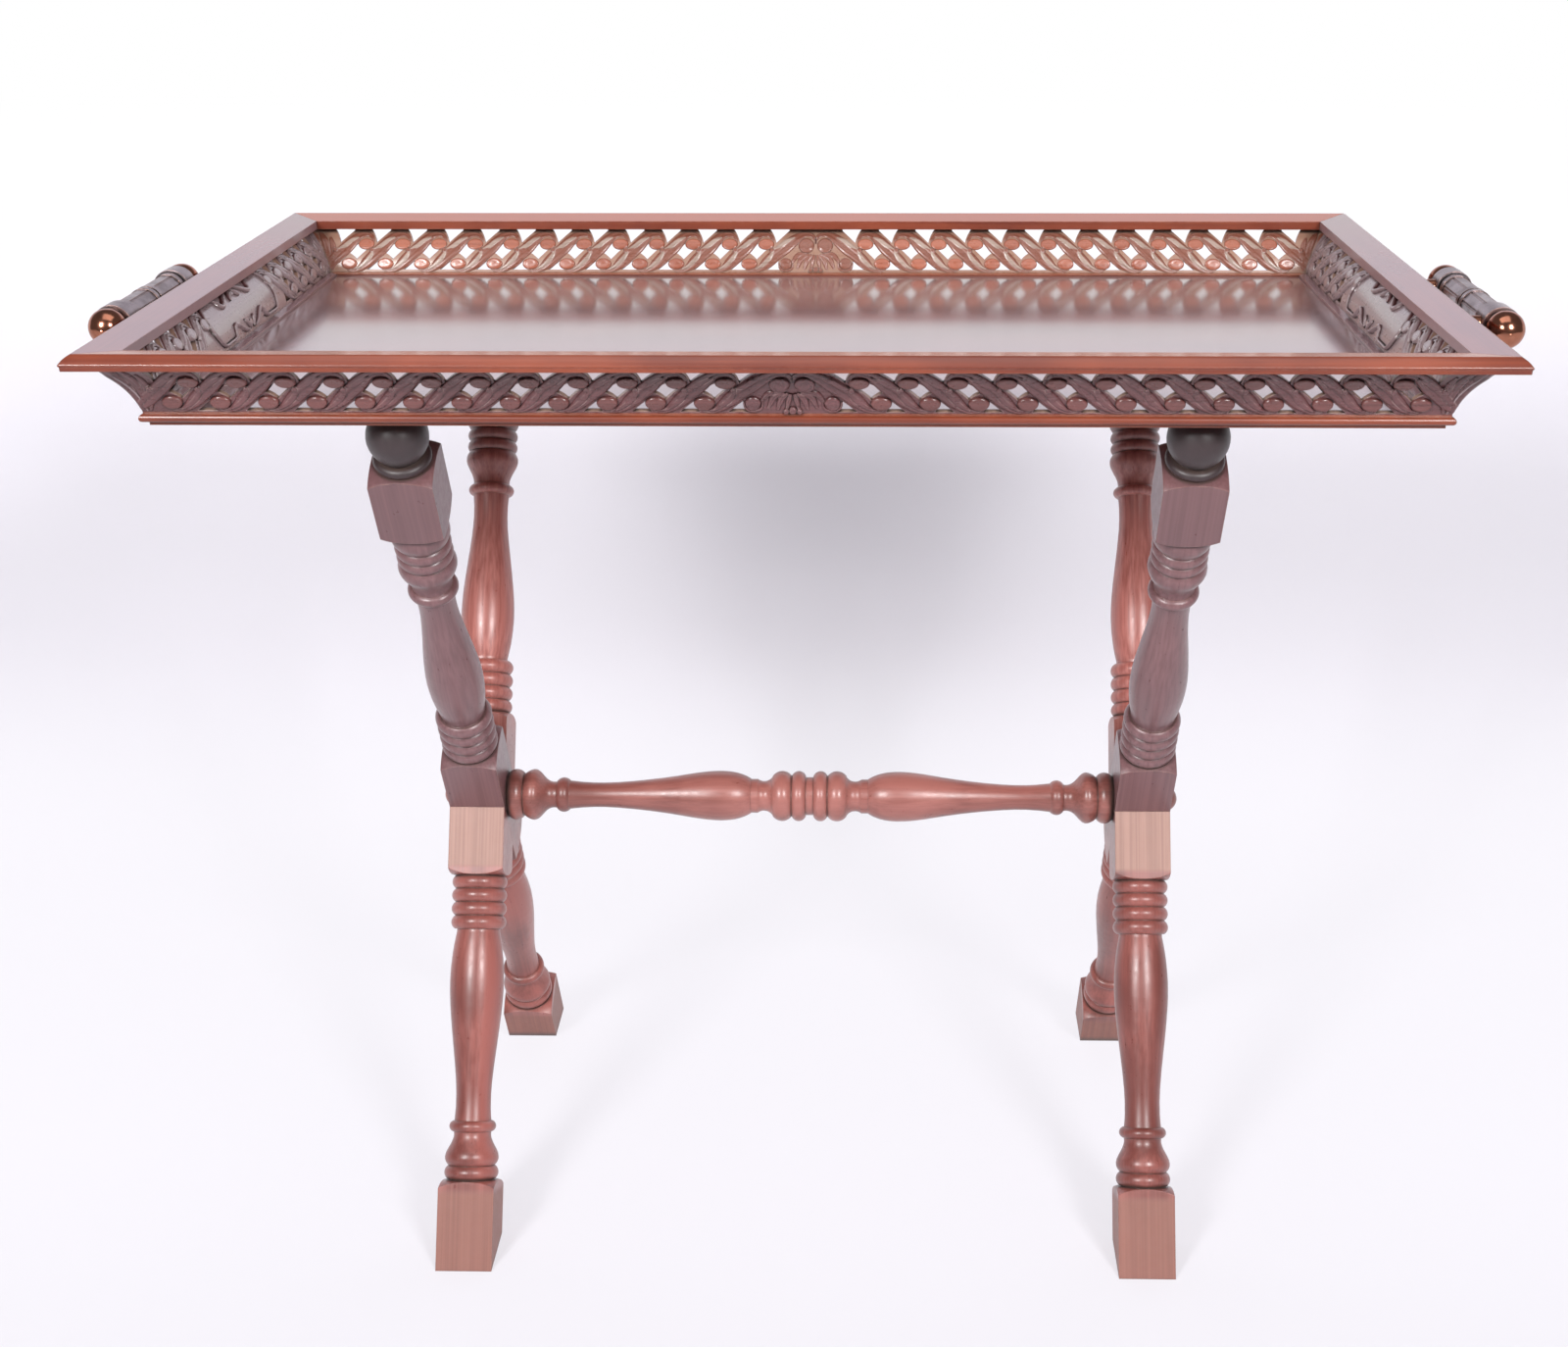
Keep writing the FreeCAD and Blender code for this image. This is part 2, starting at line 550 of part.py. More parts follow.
def leg_half_steps(vase_length, bulb_length, thin_rings, torus_width):
    """Turned profile that both halves of a leg share, from the crossing to the outer block."""
    steps = [(0, LEG_CORE_DIAMETER / 2), (CROSS_HALF_LENGTH, LEG_CORE_DIAMETER / 2)]
    for ring in range(RING_COUNT):
        start = CROSS_HALF_LENGTH + ring * RING_WIDTH
        steps += bead(start, RING_WIDTH, RING_GROOVE_DIAMETER, RING_DIAMETER)
    steps.append((VASE_START - VASE_FILLET, VASE_DIAMETER / 2 * VASE_SIZE_SHARES[0]))
    steps += swell(VASE_START, vase_length, VASE_DIAMETER, VASE_PLACE_SHARES, VASE_SIZE_SHARES)
    collar = VASE_START + vase_length
    steps += bead(collar, LEG_COLLAR_WIDTH, LEG_COLLAR_EDGE_DIAMETER, LEG_COLLAR_DIAMETER)
    bulb = collar + LEG_COLLAR_WIDTH
    steps += swell(bulb, bulb_length, BULB_DIAMETER, BULB_PLACE_SHARES, BULB_SIZE_SHARES)
    thin = bulb + bulb_length
    for ring in range(thin_rings):
        start = thin + ring * THIN_RING_WIDTH
        steps += bead(start, THIN_RING_WIDTH, THIN_RING_GROOVE_DIAMETER, THIN_RING_DIAMETER)
    torus = thin + thin_rings * THIN_RING_WIDTH
    steps += bead(torus, torus_width, TORUS_EDGE_DIAMETER, TORUS_DIAMETER)
    steps.append((torus + torus_width, LEG_CORE_DIAMETER / 2))
    return steps


def leg():
    """One leg about Z with its crossing at the origin, foot downwards and knob upwards."""
    lower_steps = leg_half_steps(LOWER_VASE_LENGTH, LOWER_BULB_LENGTH, 0, LOWER_TORUS_WIDTH)
    foot_end = FOOT_BLOCK_START + FOOT_BLOCK_LENGTH + LEG_SQUARE
    lower = turned(lower_steps + [(foot_end, LEG_CORE_DIAMETER / 2)], foot_end)
    lower = lower.fuse(square_block(FOOT_BLOCK_START, foot_end, True, False))
    lower.rotate(V(0, 0, 0), V(1, 0, 0), 180)
    upper_steps = leg_half_steps(UPPER_VASE_LENGTH, UPPER_BULB_LENGTH, THIN_RING_COUNT, UPPER_TORUS_WIDTH)
    upper_steps.append((KNOB_RING_START, LEG_CORE_DIAMETER / 2))
    upper_steps += bead(KNOB_RING_START, KNOB_RING_WIDTH, KNOB_RING_EDGE_DIAMETER, KNOB_RING_DIAMETER)
    upper_steps.append((KNOB_START, KNOB_NECK_DIAMETER / 2))
    knob = KNOB_DIAMETER / 2
    upper_steps.append(((KNOB_CENTRE, knob), (KNOB_CENTRE + knob, 0)))
    face_steps = upper_steps + [(0, 0)]
    place = lambda station, radius: V(radius, 0, station)
    upper = outline(place, (0, 0), face_steps).revolve(V(0, 0, 0), UP, 360)
    upper = upper.fuse(square_block(TOP_BLOCK_START, KNOB_RING_START, True, True))
    crossing = square_block(-CROSS_HALF_LENGTH, CROSS_HALF_LENGTH, True, True)
    return crossing.fuse([lower, upper])


def lean(piece, foot_side):
    """Lean a leg made about Z so that its foot goes to the front (-1) or the back (1)."""
    copy = piece.copy()
    copy.rotate(V(0, 0, 0), V(1, 0, 0), foot_side * LEG_LEAN)
    copy.translate(V(0, 0, CROSSING_HEIGHT))
    return copy


def cross_frame(end_side):
    """Front-footed and back-footed leg of one end, halved into each other at the crossing."""
    half = LEG_SQUARE / 2
    plain = leg()
    inner_half = Part.makeBox(half, LEG_SQUARE, 2 * CROSS_HALF_LENGTH, V(0, -half, -CROSS_HALF_LENGTH))
    outer_half = Part.makeBox(half, LEG_SQUARE, 2 * CROSS_HALF_LENGTH, V(-half, -half, -CROSS_HALF_LENGTH))
    front = lean(plain, -1).cut(lean(inner_half, 1))
    back = lean(plain, 1).cut(lean(outer_half, -1))
    reach = TRAY_LENGTH + TRAY_WIDTH
    floor = Part.makeBox(2 * reach, 2 * reach, reach, V(-reach, -reach, -reach))
    above = Part.makeBox(2 * reach, 2 * reach, reach, V(-reach, -reach, SEAT_HEIGHT))
    bore = bar_along_x(TENON_DIAMETER, -LEG_SQUARE, LEG_SQUARE)
    bore.translate(V(0, 0, CROSSING_HEIGHT))
    legs = []
    for piece in (front, back):
        trimmed = piece.cut(floor).cut(above).cut(bore)
        if end_side > 0:
            trimmed = trimmed.mirror(V(0, 0, 0), V(1, 0, 0))
        trimmed.translate(V(end_side * LEG_SPACING / 2, 0, 0))
        legs.append(trimmed)
    return legs


def stretcher():
    """Turned rail between the crossings with a round tenon through each of them."""
    half_length = (LEG_SPACING - LEG_SQUARE) / 2
    steps = [(0, MID_GAP_DIAMETER / 2), (MID_GAP_WIDTH / 2, MID_GAP_DIAMETER / 2)]
    station = MID_GAP_WIDTH / 2
    for width in (MID_INNER_BEAD_WIDTH, MID_OUTER_BEAD_WIDTH):
        steps += bead(station, width, MID_BEAD_EDGE_DIAMETER, MID_BEAD_DIAMETER)
        station += width
    steps.append((station, MID_COVE_EDGE_DIAMETER / 2))
    station += MID_COVE_WIDTH
    cove_middle = (station - MID_COVE_WIDTH / 2, MID_COVE_DIAMETER / 2)
    steps.append((cove_middle, (station, MID_FILLET_DIAMETER / 2)))
    station += MID_FILLET_WIDTH
    steps.append((station, MID_FILLET_DIAMETER / 2))
    ends = DISC_WIDTH + END_BULB_LENGTH + END_RING_WIDTH
    vase_length = half_length - ends - station
    places = [1 - share for share in reversed(LONG_VASE_PLACE_SHARES)]
    steps += swell(station, vase_length, LONG_VASE_DIAMETER, places, LONG_VASE_SIZE_SHARES[::-1])
    station += vase_length
    steps += bead(station, END_RING_WIDTH, END_RING_EDGE_DIAMETER, END_RING_DIAMETER)
    station += END_RING_WIDTH
    steps += swell(station, END_BULB_LENGTH, END_BULB_DIAMETER, END_BULB_PLACE_SHARES, END_BULB_SIZE_SHARES)
    station += END_BULB_LENGTH
    steps += bead(station, DISC_WIDTH, DISC_EDGE_DIAMETER, DISC_DIAMETER)
    steps += [(half_length, TENON_DIAMETER / 2), (half_length + LEG_SQUARE, TENON_DIAMETER / 2)]
    half = turned(steps, half_length + LEG_SQUARE)
    other = half.mirror(V(0, 0, 0), UP)
    whole = half.fuse(other)
    whole.rotate(V(0, 0, 0), V(0, 1, 0), 90)
    whole.translate(V(0, 0, CROSSING_HEIGHT))
    return whole


def end_button(end_side):
    """Domed button over the tenon's end on the outside of a crossing."""
    rim = BUTTON_DIAMETER / 2
    radius = (rim ** 2 + BUTTON_HEIGHT ** 2) / (2 * BUTTON_HEIGHT)
    on_dome = (BUTTON_HEIGHT - radius + radius * math.cos(math.asin(rim / radius) / 2),
               radius * math.sin(math.asin(rim / radius) / 2))
    dome = outline(lambda station, r: V(r, 0, station), (0, 0),
                   [(0, rim), (on_dome, (BUTTON_HEIGHT, 0)), (0, 0)]).revolve(V(0, 0, 0), UP, 360)
    dome.rotate(V(0, 0, 0), V(0, 1, 0), end_side * 90)
    dome.translate(V(end_side * (LEG_SPACING + LEG_SQUARE) / 2, 0, CROSSING_HEIGHT))
    return dome


def turn_to_left(piece):
    """Copy of a right-hand handle piece on the left side."""
    copy = piece.copy()
    copy.rotate(V(0, 0, 0), UP, 180)
    return copy


def build():
    """All pieces of the table by node name."""
    pieces = {"bed_panel": bed_panel()}
    holes = screw_holes()
    for side, piece in on_four_sides(base_rail).items():
        pieces["base_rail_" + side] = piece
    for side, piece in on_four_sides(gallery_board).items():
        if side == "right":
            piece = piece.cut(holes)
        if side == "left":
            piece = piece.cut(turn_to_left(holes))
        pieces["gallery_" + side] = piece
    for side, piece in on_four_sides(rim_rail).items():
        pieces["rim_rail_" + side] = piece
    handle = {"handle_bar": at_right_handle(handle_bar()),
              "handle_caps": at_right_handle(handle_caps()),
              "handle_posts": Part.makeCompound(handle_posts()),
              "handle_screws": Part.makeCompound(at_screws(one_screw)),
              "screw_plugs": screw_plugs()}
    for name, piece in handle.items():
        pieces[name + "_right"] = piece
        pieces[name + "_left"] = turn_to_left(piece)
    for end_side, end in ((-1, "left"), (1, "right")):
        front, back = cross_frame(end_side)
        pieces["leg_" + end + "_front_foot"] = front
        pieces["leg_" + end + "_back_foot"] = back
        pieces["tenon_button_" + end] = end_button(end_side)
    pieces["stretcher"] = stretcher()
    return pieces


os.makedirs("parts", exist_ok=True)
for node, shape in build().items():
    shape.exportStep("parts/" + node + ".step")
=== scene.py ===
import math
import bpy
import numpy as np
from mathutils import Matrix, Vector


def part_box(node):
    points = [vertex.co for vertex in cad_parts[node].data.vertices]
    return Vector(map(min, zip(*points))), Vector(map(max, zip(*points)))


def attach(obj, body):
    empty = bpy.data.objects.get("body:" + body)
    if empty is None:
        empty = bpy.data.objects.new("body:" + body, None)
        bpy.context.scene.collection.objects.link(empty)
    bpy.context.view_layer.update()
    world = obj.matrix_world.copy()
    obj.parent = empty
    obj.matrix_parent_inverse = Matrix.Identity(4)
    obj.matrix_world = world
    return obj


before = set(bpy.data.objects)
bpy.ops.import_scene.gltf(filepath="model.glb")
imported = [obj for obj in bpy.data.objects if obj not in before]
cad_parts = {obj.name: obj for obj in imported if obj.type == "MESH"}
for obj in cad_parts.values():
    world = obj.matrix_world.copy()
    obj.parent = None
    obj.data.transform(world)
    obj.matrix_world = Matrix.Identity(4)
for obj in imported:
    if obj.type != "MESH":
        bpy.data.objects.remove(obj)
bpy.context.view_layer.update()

MM = 0.001

# Gallery walls, as the solids have them
TRAY_LENGTH = 830 * MM
TRAY_WIDTH = 506 * MM
WALL_RISE = 31.5 * MM
WALL_DRAW = 21.1 * MM
WALL_FOOT_INSET = 33.6 * MM
WALL_THICKNESS = 3.6 * MM
PIERCING_SLOPE = math.tan(math.radians(15))
WALL_HOLLOW = 3.6 * MM
WALL_SLANT = math.hypot(WALL_RISE, WALL_DRAW)
WALL_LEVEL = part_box("gallery_front")[0].z
SCROLL_PITCH = 28.27 * MM
CORNER_TO_EYE = 35.95 * MM
LONG_EYES = 12
SHORT_EYES = 4
PLAQUE_RAISE = 1.0 * MM

# Legs, as the solids have them, measured along a leg from its crossing
LEG_LEAN = math.radians(29)
CROSSING_HEIGHT = 288.8 * MM
CROSS_HALF = 60 * MM
FOOT_BLOCK_START = 279.2 * MM
KNOB_START = 345.2 * MM

# Carved relief on the walls; its tables are in mm: along the wall, up its slope, and width or radius
STRAP_HEIGHT = 2.3 * MM
DISC_RADIUS = 4.5 * MM
DISC_STRETCH = 1.4
DISC_HEIGHT = 2.1 * MM
DISC_SPIRAL = 0.12
CURL_HEIGHT = 1.15 * DISC_HEIGHT
STRAND_HEIGHT = 1.0 * MM
STRAND_BASE = 1.5 * MM
LEAF_HEIGHT = 1.8 * MM
FAN_HEIGHT = 1.9 * MM
LEAF_GROOVE = 0.3
VOLUTE_HEIGHT = 2.3 * MM
LOWER_VOLUTE_HEIGHT = 1.9 * MM
HOOK_HEIGHT = 1.5 * MM
BEAD_HEIGHT = 2.0 * MM
RIBBON_HEIGHT = 2.6 * MM
# share of the relief that the inner face gets, on a long wall and on an end wall
INNER_SHARE = {True: 0.6, False: 1.0}
SINK = 0.3 * MM
# share of the strap at each corner that is left out, where the corner leaves lie
CORNER_STRAP_START = 0.26
LOWER_DISC = (-6.3 * MM, 7.6 * MM)
UPPER_DISC = (6.7 * MM, 23.5 * MM)
# one strap from under a lower disc, up the slope and over the next upper disc
STRAP_LINE = ((-9.4, 4.6, 1.0), (-6.4, 2.3, 2.2), (-1.6, 2.2, 3.8), (3.2, 4.8, 6.4), (7.8, 9.0, 9.4),
              (13.4, 14.6, 10.2), (19.0, 20.2, 10.4), (24.2, 26.2, 9.2), (28.8, 30.6, 6.8), (33.6, 32.0, 4.8),
              (38.0, 30.6, 3.4), (40.2, 27.0, 2.2), (40.2, 23.8, 1.0))
STRAND_LINES = (((-1.4, 3.2, 0.8), (4.0, 6.4, 3.0), (9.0, 11.6, 3.8), (12.4, 17.4, 2.0)),
                ((12.6, 19.2, 0.8), (18.0, 21.8, 3.6), (23.6, 26.4, 3.6), (28.8, 29.0, 1.2)))
CURL = (11.0, 18.4, 1.9)
# leaf lobes of a corner, from the foot of its mitre
CORNER_LOBES = (((0.6, 1.8, 2.4), (-0.7, 8.0, 4.4), (-3.4, 16.0, 6.2), (-7.3, 24.0, 7.8), (-11.7, 31.0, 8.4),
                 (-14.8, 35.6, 4.0)),
                ((3.0, 1.8, 2.2), (3.4, 8.0, 4.0), (2.2, 16.0, 5.6), (-0.2, 24.0, 6.4), (-3.2, 30.0, 4.8),
                 (-6.0, 34.2, 1.6)),
                ((5.4, 1.6, 2.2), (6.6, 8.0, 4.2), (6.4, 16.0, 5.2), (5.4, 23.0, 4.8), (3.2, 29.4, 1.8)))
# half of the leaf fan and the volutes in the middle of a long wall
FAN_LOBES = (((0.9, 14.6, 2.2), (2.3, 9.6, 3.6), (3.4, 3.2, 2.0)),
             ((2.6, 15.0, 2.2), (6.4, 10.8, 4.6), (8.8, 3.2, 2.2)),
             ((4.6, 15.4, 2.2), (10.4, 12.6, 4.8), (14.2, 4.0, 2.2)),
             ((6.6, 15.8, 2.0), (13.6, 14.6, 4.2), (18.6, 8.4, 2.0)))
CENTRE_BEADS = ((0.0, 3.0, 2.3), (3.9, 2.4, 1.7), (-3.9, 2.4, 1.7))
CENTRE_VOLUTE = (7.2, 22.3, 6.2)
CENTRE_LOWER = (23.0, 7.6, 4.8)
CENTRE_PULL = 4.5
# a quarter of the ribbon around an end plaque, from the middle of its length to the middle of its end
PLAQUE_TOP = 35.0
PLAQUE_FOOT = 2.9
PLAQUE_LINE = ((6.4, -1.0, 1.4), (11.0, -1.4, 2.8), (17.0, -3.6, 3.6), (23.0, -6.8, 3.8), (28.6, -8.9, 3.8),
               (32.6, -7.4, 3.6), (35.4, -3.4, 3.2), (39.6, -1.2, 2.6), (48.0, -1.0, 2.2), (60.0, -1.0, 2.2),
               (64.6, -3.4, 2.2), (68.2, -8.0, 2.2), (70.4, -12.6, 2.2), (71.0, -16.2, 2.2))
PLAQUE_LEAF = ((2.8, -0.8, 1.6), (5.0, -3.6, 3.6), (7.6, -6.6, 3.4), (9.6, -8.6, 1.2))
PLAQUE_BEAD = (0.0, -4.4, 2.4)
# tones of the carving, which are places in its list of materials
PLAIN, STRAND, COIN_END = 0, 1, 2

# Grain, rubbed edges with painted highlights, and gloss of the wood; scales are per metre, the last one along
# the grain
STREAK_SCALE = (520, 520, 5)
FIGURE_SCALE = (38, 38, 5)
PORE_SCALE = (1900, 1900, 70)
CLOUD_SCALE = (16, 16, 16)
SCUFF_SCALE = (190, 190, 190)
FLECK_SHARE = 0.1
WORN_RADIUS = 1.0 * MM
BUMP_DEPTH = 0.1 * MM
HAZE_ROUGHNESS = 0.4
HAZE_TINT = (0.92, 0.86, 1.0)

# Tarnish and gloss of the metal
TARNISH_SCALE = (90, 90, 90)
METAL_GRAIN_SCALE = (900, 900, 900)
METAL_WORN_RADIUS = 0.8 * MM
METAL_GRIME_REACH = 4 * MM
METAL_BUMP = 0.06
METAL_BUMP_DEPTH = 0.05 * MM

# Colours of parts of a piece: dark and light grain where there are two
BARE_BLOCK = ((0.30, 0.165, 0.13), (0.39, 0.225, 0.18))
# painted light: a lighter leg colour for the upper half of the legs with front feet, which the tray shades
PAINTED_LIGHT_LEG = ((0.28, 0.078, 0.062), (0.48, 0.172, 0.142))
# painted reflection of the pale floor, dull lilac brown, for the upper half of the legs with back feet
PAINTED_REFLECTION_LEG = ((0.125, 0.060, 0.065), (0.185, 0.096, 0.104))
# painted shade for the downward-facing upper block of the legs with back feet
PAINTED_SHADE_BLOCK = (0.09, 0.042, 0.047)
# painted shadow of the tray, near black, for the top of the legs with front feet
SHADED_TOP = (0.035, 0.012, 0.012)
FOOT_BROWN = ((0.20, 0.076, 0.055), (0.285, 0.12, 0.09))
# near black for the knob: a real dark stain together with painted shade of the tray
KNOB_STAIN_AND_SHADE = (0.012, 0.006, 0.007)
# painted reflection of the backdrop, lilac, for the top and inner face of the end rails
RAIL_PAINTED_REFLECTION = (0.34, 0.26, 0.30)
RAIL_RUBBED = (0.46, 0.13, 0.058)
# painted reflection of the bright surroundings: lilac grey for the inner faces of the end walls
END_INSIDE_PAINTED_REFLECTION = ((0.20, 0.135, 0.14), (0.31, 0.225, 0.235))
# painted shade, near black, for the hollows inside the end walls
END_HOLLOW_PAINTED_SHADE = (0.035, 0.018, 0.017)
LONG_INSIDE = ((0.15, 0.047, 0.029), (0.24, 0.086, 0.056))
# painted reflection, tan grey, for the hollows inside the long walls
LONG_HOLLOW_PAINTED_REFLECTION = (0.22, 0.16, 0.13)
# sawn wood colour; on the cut edges of the openings it is also a painted highlight
SAWN_WOOD_AND_HIGHLIGHT = (0.36, 0.23, 0.165)


class Graph:
    """A material's node tree, with short calls to add and link nodes."""

    def __init__(self, name):
        self.material = bpy.data.materials.new(name)
        self.material.use_nodes = True
        self.nodes = self.material.node_tree.nodes
        self.links = self.material.node_tree.links
        self.nodes.clear()

    def add(self, kind, sockets=None, **settings):
        node = self.nodes.new("ShaderNode" + kind)
        for key, value in settings.items():
            setattr(node, key, value)
        for key, value in (sockets or {}).items():
            self.put(node.inputs[key], value)
        return node

    def put(self, socket, value):
        if isinstance(value, bpy.types.NodeSocket):
            self.links.new(value, socket)
        else:
            socket.default_value = value

    def math(self, operation, a, b=0.0, clamp=False):
        return self.add("Math", {0: a, 1: b}, operation=operation, use_clamp=clamp).outputs[0]

    def ramp(self, value, low, high, start=0.0, end=1.0):
        made = self.add("MapRange", {"Value": value, "From Min": low, "From Max": high, "To Min": start,
                                     "To Max": end}, interpolation_type="SMOOTHSTEP")
        return made.outputs[0]

    def mix(self, factor, first, second):
        made = self.add("Mix", {0: factor, 6: first, 7: second}, data_type="RGBA")
        return made.outputs[2]

    def noise(self, vector, detail, roughness, distortion=0.0):
        made = self.add("TexNoise", {"Vector": vector, "Scale": 1.0, "Detail": detail, "Roughness": roughness,
                                     "Distortion": distortion})
        return made.outputs[0]

    def scaled(self, vector, scale):
        return self.add("VectorMath", {0: vector, 1: scale}, operation="MULTIPLY").outputs[0]

    def dot(self, vector, direction):
        return self.add("VectorMath", {0: vector, 1: direction}, operation="DOT_PRODUCT").outputs["Value"]

    def between(self, value, low, high, soft=2 * MM):
        """1 where the value lies between two limits, with soft ends."""
        above = self.ramp(value, low - soft, low + soft)
        below = self.ramp(value, high - soft, high + soft, 1.0, 0.0)
        return self.math("MULTIPLY", above, below)

    def surface(self, shader):
        out = self.add("OutputMaterial")
        self.links.new(shader, out.inputs["Surface"])
        return self.material


def rgba(red, green, blue):
    return (red, green, blue, 1.0)


def grained(g, factor, pair):
    """A colour between the dark and the light one of a pair."""
    return g.mix(factor, rgba(*pair[0]), rgba(*pair[1]))


def times(colour, share):
    return rgba(*[min(1.0, share * c) for c in colour])


def wood(name, turn, dark, light, rough, coat, wear_and_highlight, dirt_and_painted_light, pale=None, grain_share=0.5, gloss=0.12, relief=0.2,
         reach=6.0, vary=1.0, bend=1.5, haze=0.0, dust_and_painted_light=None, zones=None, bare_below=False):
    """Mahogany whose grain runs along Z once the object's own coordinates are turned."""
    g = Graph(name)
    place = g.add("TexCoord").outputs["Object"]
    grain = g.add("Mapping", {"Vector": place, "Rotation": turn}).outputs[0]
    streak = g.noise(g.scaled(grain, STREAK_SCALE), 3.0, 0.5)
    figure = g.noise(g.scaled(grain, FIGURE_SCALE), 2.0, 0.5, 0.4)
    cloud = g.noise(g.scaled(place, CLOUD_SCALE), 3.0, 0.5)
    pore = g.noise(g.scaled(grain, PORE_SCALE), 2.0, 0.5)
    fine = g.math("MULTIPLY", streak, grain_share)
    shade = g.math("ADD", fine, g.math("MULTIPLY", figure, 1.0 - grain_share))
    shade = g.math("ADD", g.math("MULTIPLY", shade, 0.7), g.math("MULTIPLY", cloud, 0.3))
    colour = g.mix(g.ramp(shade, 0.38, 0.62), rgba(*dark), rgba(*light))
    flecks = g.ramp(pore, 0.58, 0.68)
    colour = g.mix(g.math("MULTIPLY", flecks, FLECK_SHARE), colour, times(dark, 0.5))
    normal = g.add("NewGeometry").outputs["Normal"]
    matt = 0.0
    # hollows default to near black, which is painted shade
    dust_and_painted_light = rgba(*dust_and_painted_light) if dust_and_painted_light else times(dark, 0.16)
    if zones:
        colour, matt, dust_and_painted_light = zones(g, colour, grain, normal, streak, dust_and_painted_light)
    if bare_below:
        upward = g.add("SeparateXYZ", {0: normal}).outputs["Z"]
        coat = g.ramp(upward, 0.4, 0.8, 0.0, coat)
        matt = g.ramp(upward, -0.4, -0.8, 0.0, 0.45)
    soft = g.add("Bevel", {"Radius": WORN_RADIUS}, samples=4).outputs[0]
    flat = g.dot(normal, soft)
    scuff = g.noise(g.scaled(place, SCUFF_SCALE), 4.0, 0.65)
    # pale edges: rubbed wood, and on the carving a painted highlight
    edge = g.math("MULTIPLY", g.ramp(flat, 0.992, 0.88), g.ramp(scuff, 0.36, 0.6))
    wear_and_highlight_tone = rgba(*(pale or [min(1.0, 1.7 * c + 0.04) for c in light]))
    colour = g.mix(g.math("MULTIPLY", edge, wear_and_highlight), colour, wear_and_highlight_tone)
    # occluded places take the hollow colour: grey-brown dust in the grooves of the turned legs, painted shade
    # in most other pieces, and painted reflection inside the long walls
    hidden = g.add("AmbientOcclusion", {"Distance": reach * MM}, samples=6).outputs["AO"]
    hollow_share = g.math("MULTIPLY", g.ramp(hidden, 0.78, 0.34), dirt_and_painted_light)
    colour = g.mix(hollow_share, colour, dust_and_painted_light)
    sheen = g.ramp(g.math("ADD", g.math("MULTIPLY", scuff, 0.65), g.math("MULTIPLY", streak, 0.35)),
                   0.3, 0.7, rough - 0.06 * vary, rough + 0.1 * vary)
    sheen = g.math("ADD", sheen, matt, True)
    height = g.math("SUBTRACT", g.math("MULTIPLY", streak, 0.4), g.math("MULTIPLY", flecks, 0.12))
    bump = g.add("Bump", {"Height": height, "Strength": relief, "Distance": BUMP_DEPTH,
                          "Normal": soft}).outputs[0]
    shader = g.add("BsdfPrincipled", {"Base Color": colour, "Roughness": sheen, "Normal": bump,
                                      "Coat Weight": coat, "Coat Roughness": gloss, "Coat IOR": bend,
                                      "Sheen Weight": haze, "Sheen Roughness": HAZE_ROUGHNESS,
                                      "Sheen Tint": rgba(*HAZE_TINT)})
    return g.surface(shader.outputs[0])


def leg_zones(foot_side):
    """Colours that differ along a leg: bare crossing block, brown foot; on a leg with a front foot a painted
    lift of light on its upper half and a painted shadow of the tray at its top; on a leg with a back foot
    painted floor reflection and painted shade on its upper half and block; a knob darkened by stain and
    painted shade.
    """
    facing = (0.0, -math.cos(LEG_LEAN), -foot_side * math.sin(LEG_LEAN))

    def zones(g, colour, grain, normal, streak, dust_and_painted_light):
        along = g.add("SeparateXYZ", {0: grain}).outputs["Z"]
        along = g.math("SUBTRACT", along, CROSSING_HEIGHT * math.cos(LEG_LEAN))
        front = g.ramp(g.dot(normal, facing), 0.75, 0.95)
        matt = g.ramp(along, -FOOT_BLOCK_START - 4 * MM, -FOOT_BLOCK_START - 10 * MM, 0.0, 0.3)
        if foot_side < 0:
            bare = grained(g, g.ramp(streak, 0.3, 0.7), BARE_BLOCK)
            amount = g.math("MULTIPLY", g.between(along, -CROSS_HALF + 6 * MM, 30 * MM), front)
            colour = g.mix(g.math("MULTIPLY", amount, 0.9), colour, bare)
            matt = g.math("ADD", matt, g.math("MULTIPLY", amount, 0.35))
            # painted light lifts the upper half of this leg
            painted_light = grained(g, g.ramp(streak, 0.2, 0.8), PAINTED_LIGHT_LEG)
            colour = g.mix(g.ramp(along, 30 * MM, CROSS_HALF, 0.0, 0.8), colour, painted_light)
            # painted shadow of the tray over the top of this leg
            colour = g.mix(g.ramp(along, 0.22, 0.3, 0.0, 0.75), colour, rgba(*SHADED_TOP))
        else:
            # upper half of a leg with a back foot: painted floor reflection, and painted shade on its block
            painted_reflection_and_shade = grained(g, g.ramp(streak, 0.2, 0.8), PAINTED_REFLECTION_LEG)
            painted_reflection_and_shade = g.mix(g.ramp(along, 0.27, 0.3, 0.0, 0.35), painted_reflection_and_shade, rgba(*PAINTED_SHADE_BLOCK))
            colour = g.mix(g.ramp(along, -10 * MM, 4 * MM, 0.0, 0.9), colour, painted_reflection_and_shade)
        foot = g.ramp(along, -FOOT_BLOCK_START - 4 * MM, -FOOT_BLOCK_START - 10 * MM)
        brown = grained(g, g.ramp(streak, 0.1, 0.9), FOOT_BROWN)
        colour = g.mix(g.math("MULTIPLY", foot, 0.85), colour, brown)
        # the knob darkens: real stain and painted shade under the tray
        knob = g.ramp(along, KNOB_START - 2 * MM, KNOB_START + 4 * MM)
        matt = g.math("ADD", matt, g.math("MULTIPLY", knob, 0.16))
        return g.mix(g.math("MULTIPLY", knob, 0.9), colour, rgba(*KNOB_STAIN_AND_SHADE)), matt, dust_and_painted_light

    return zones


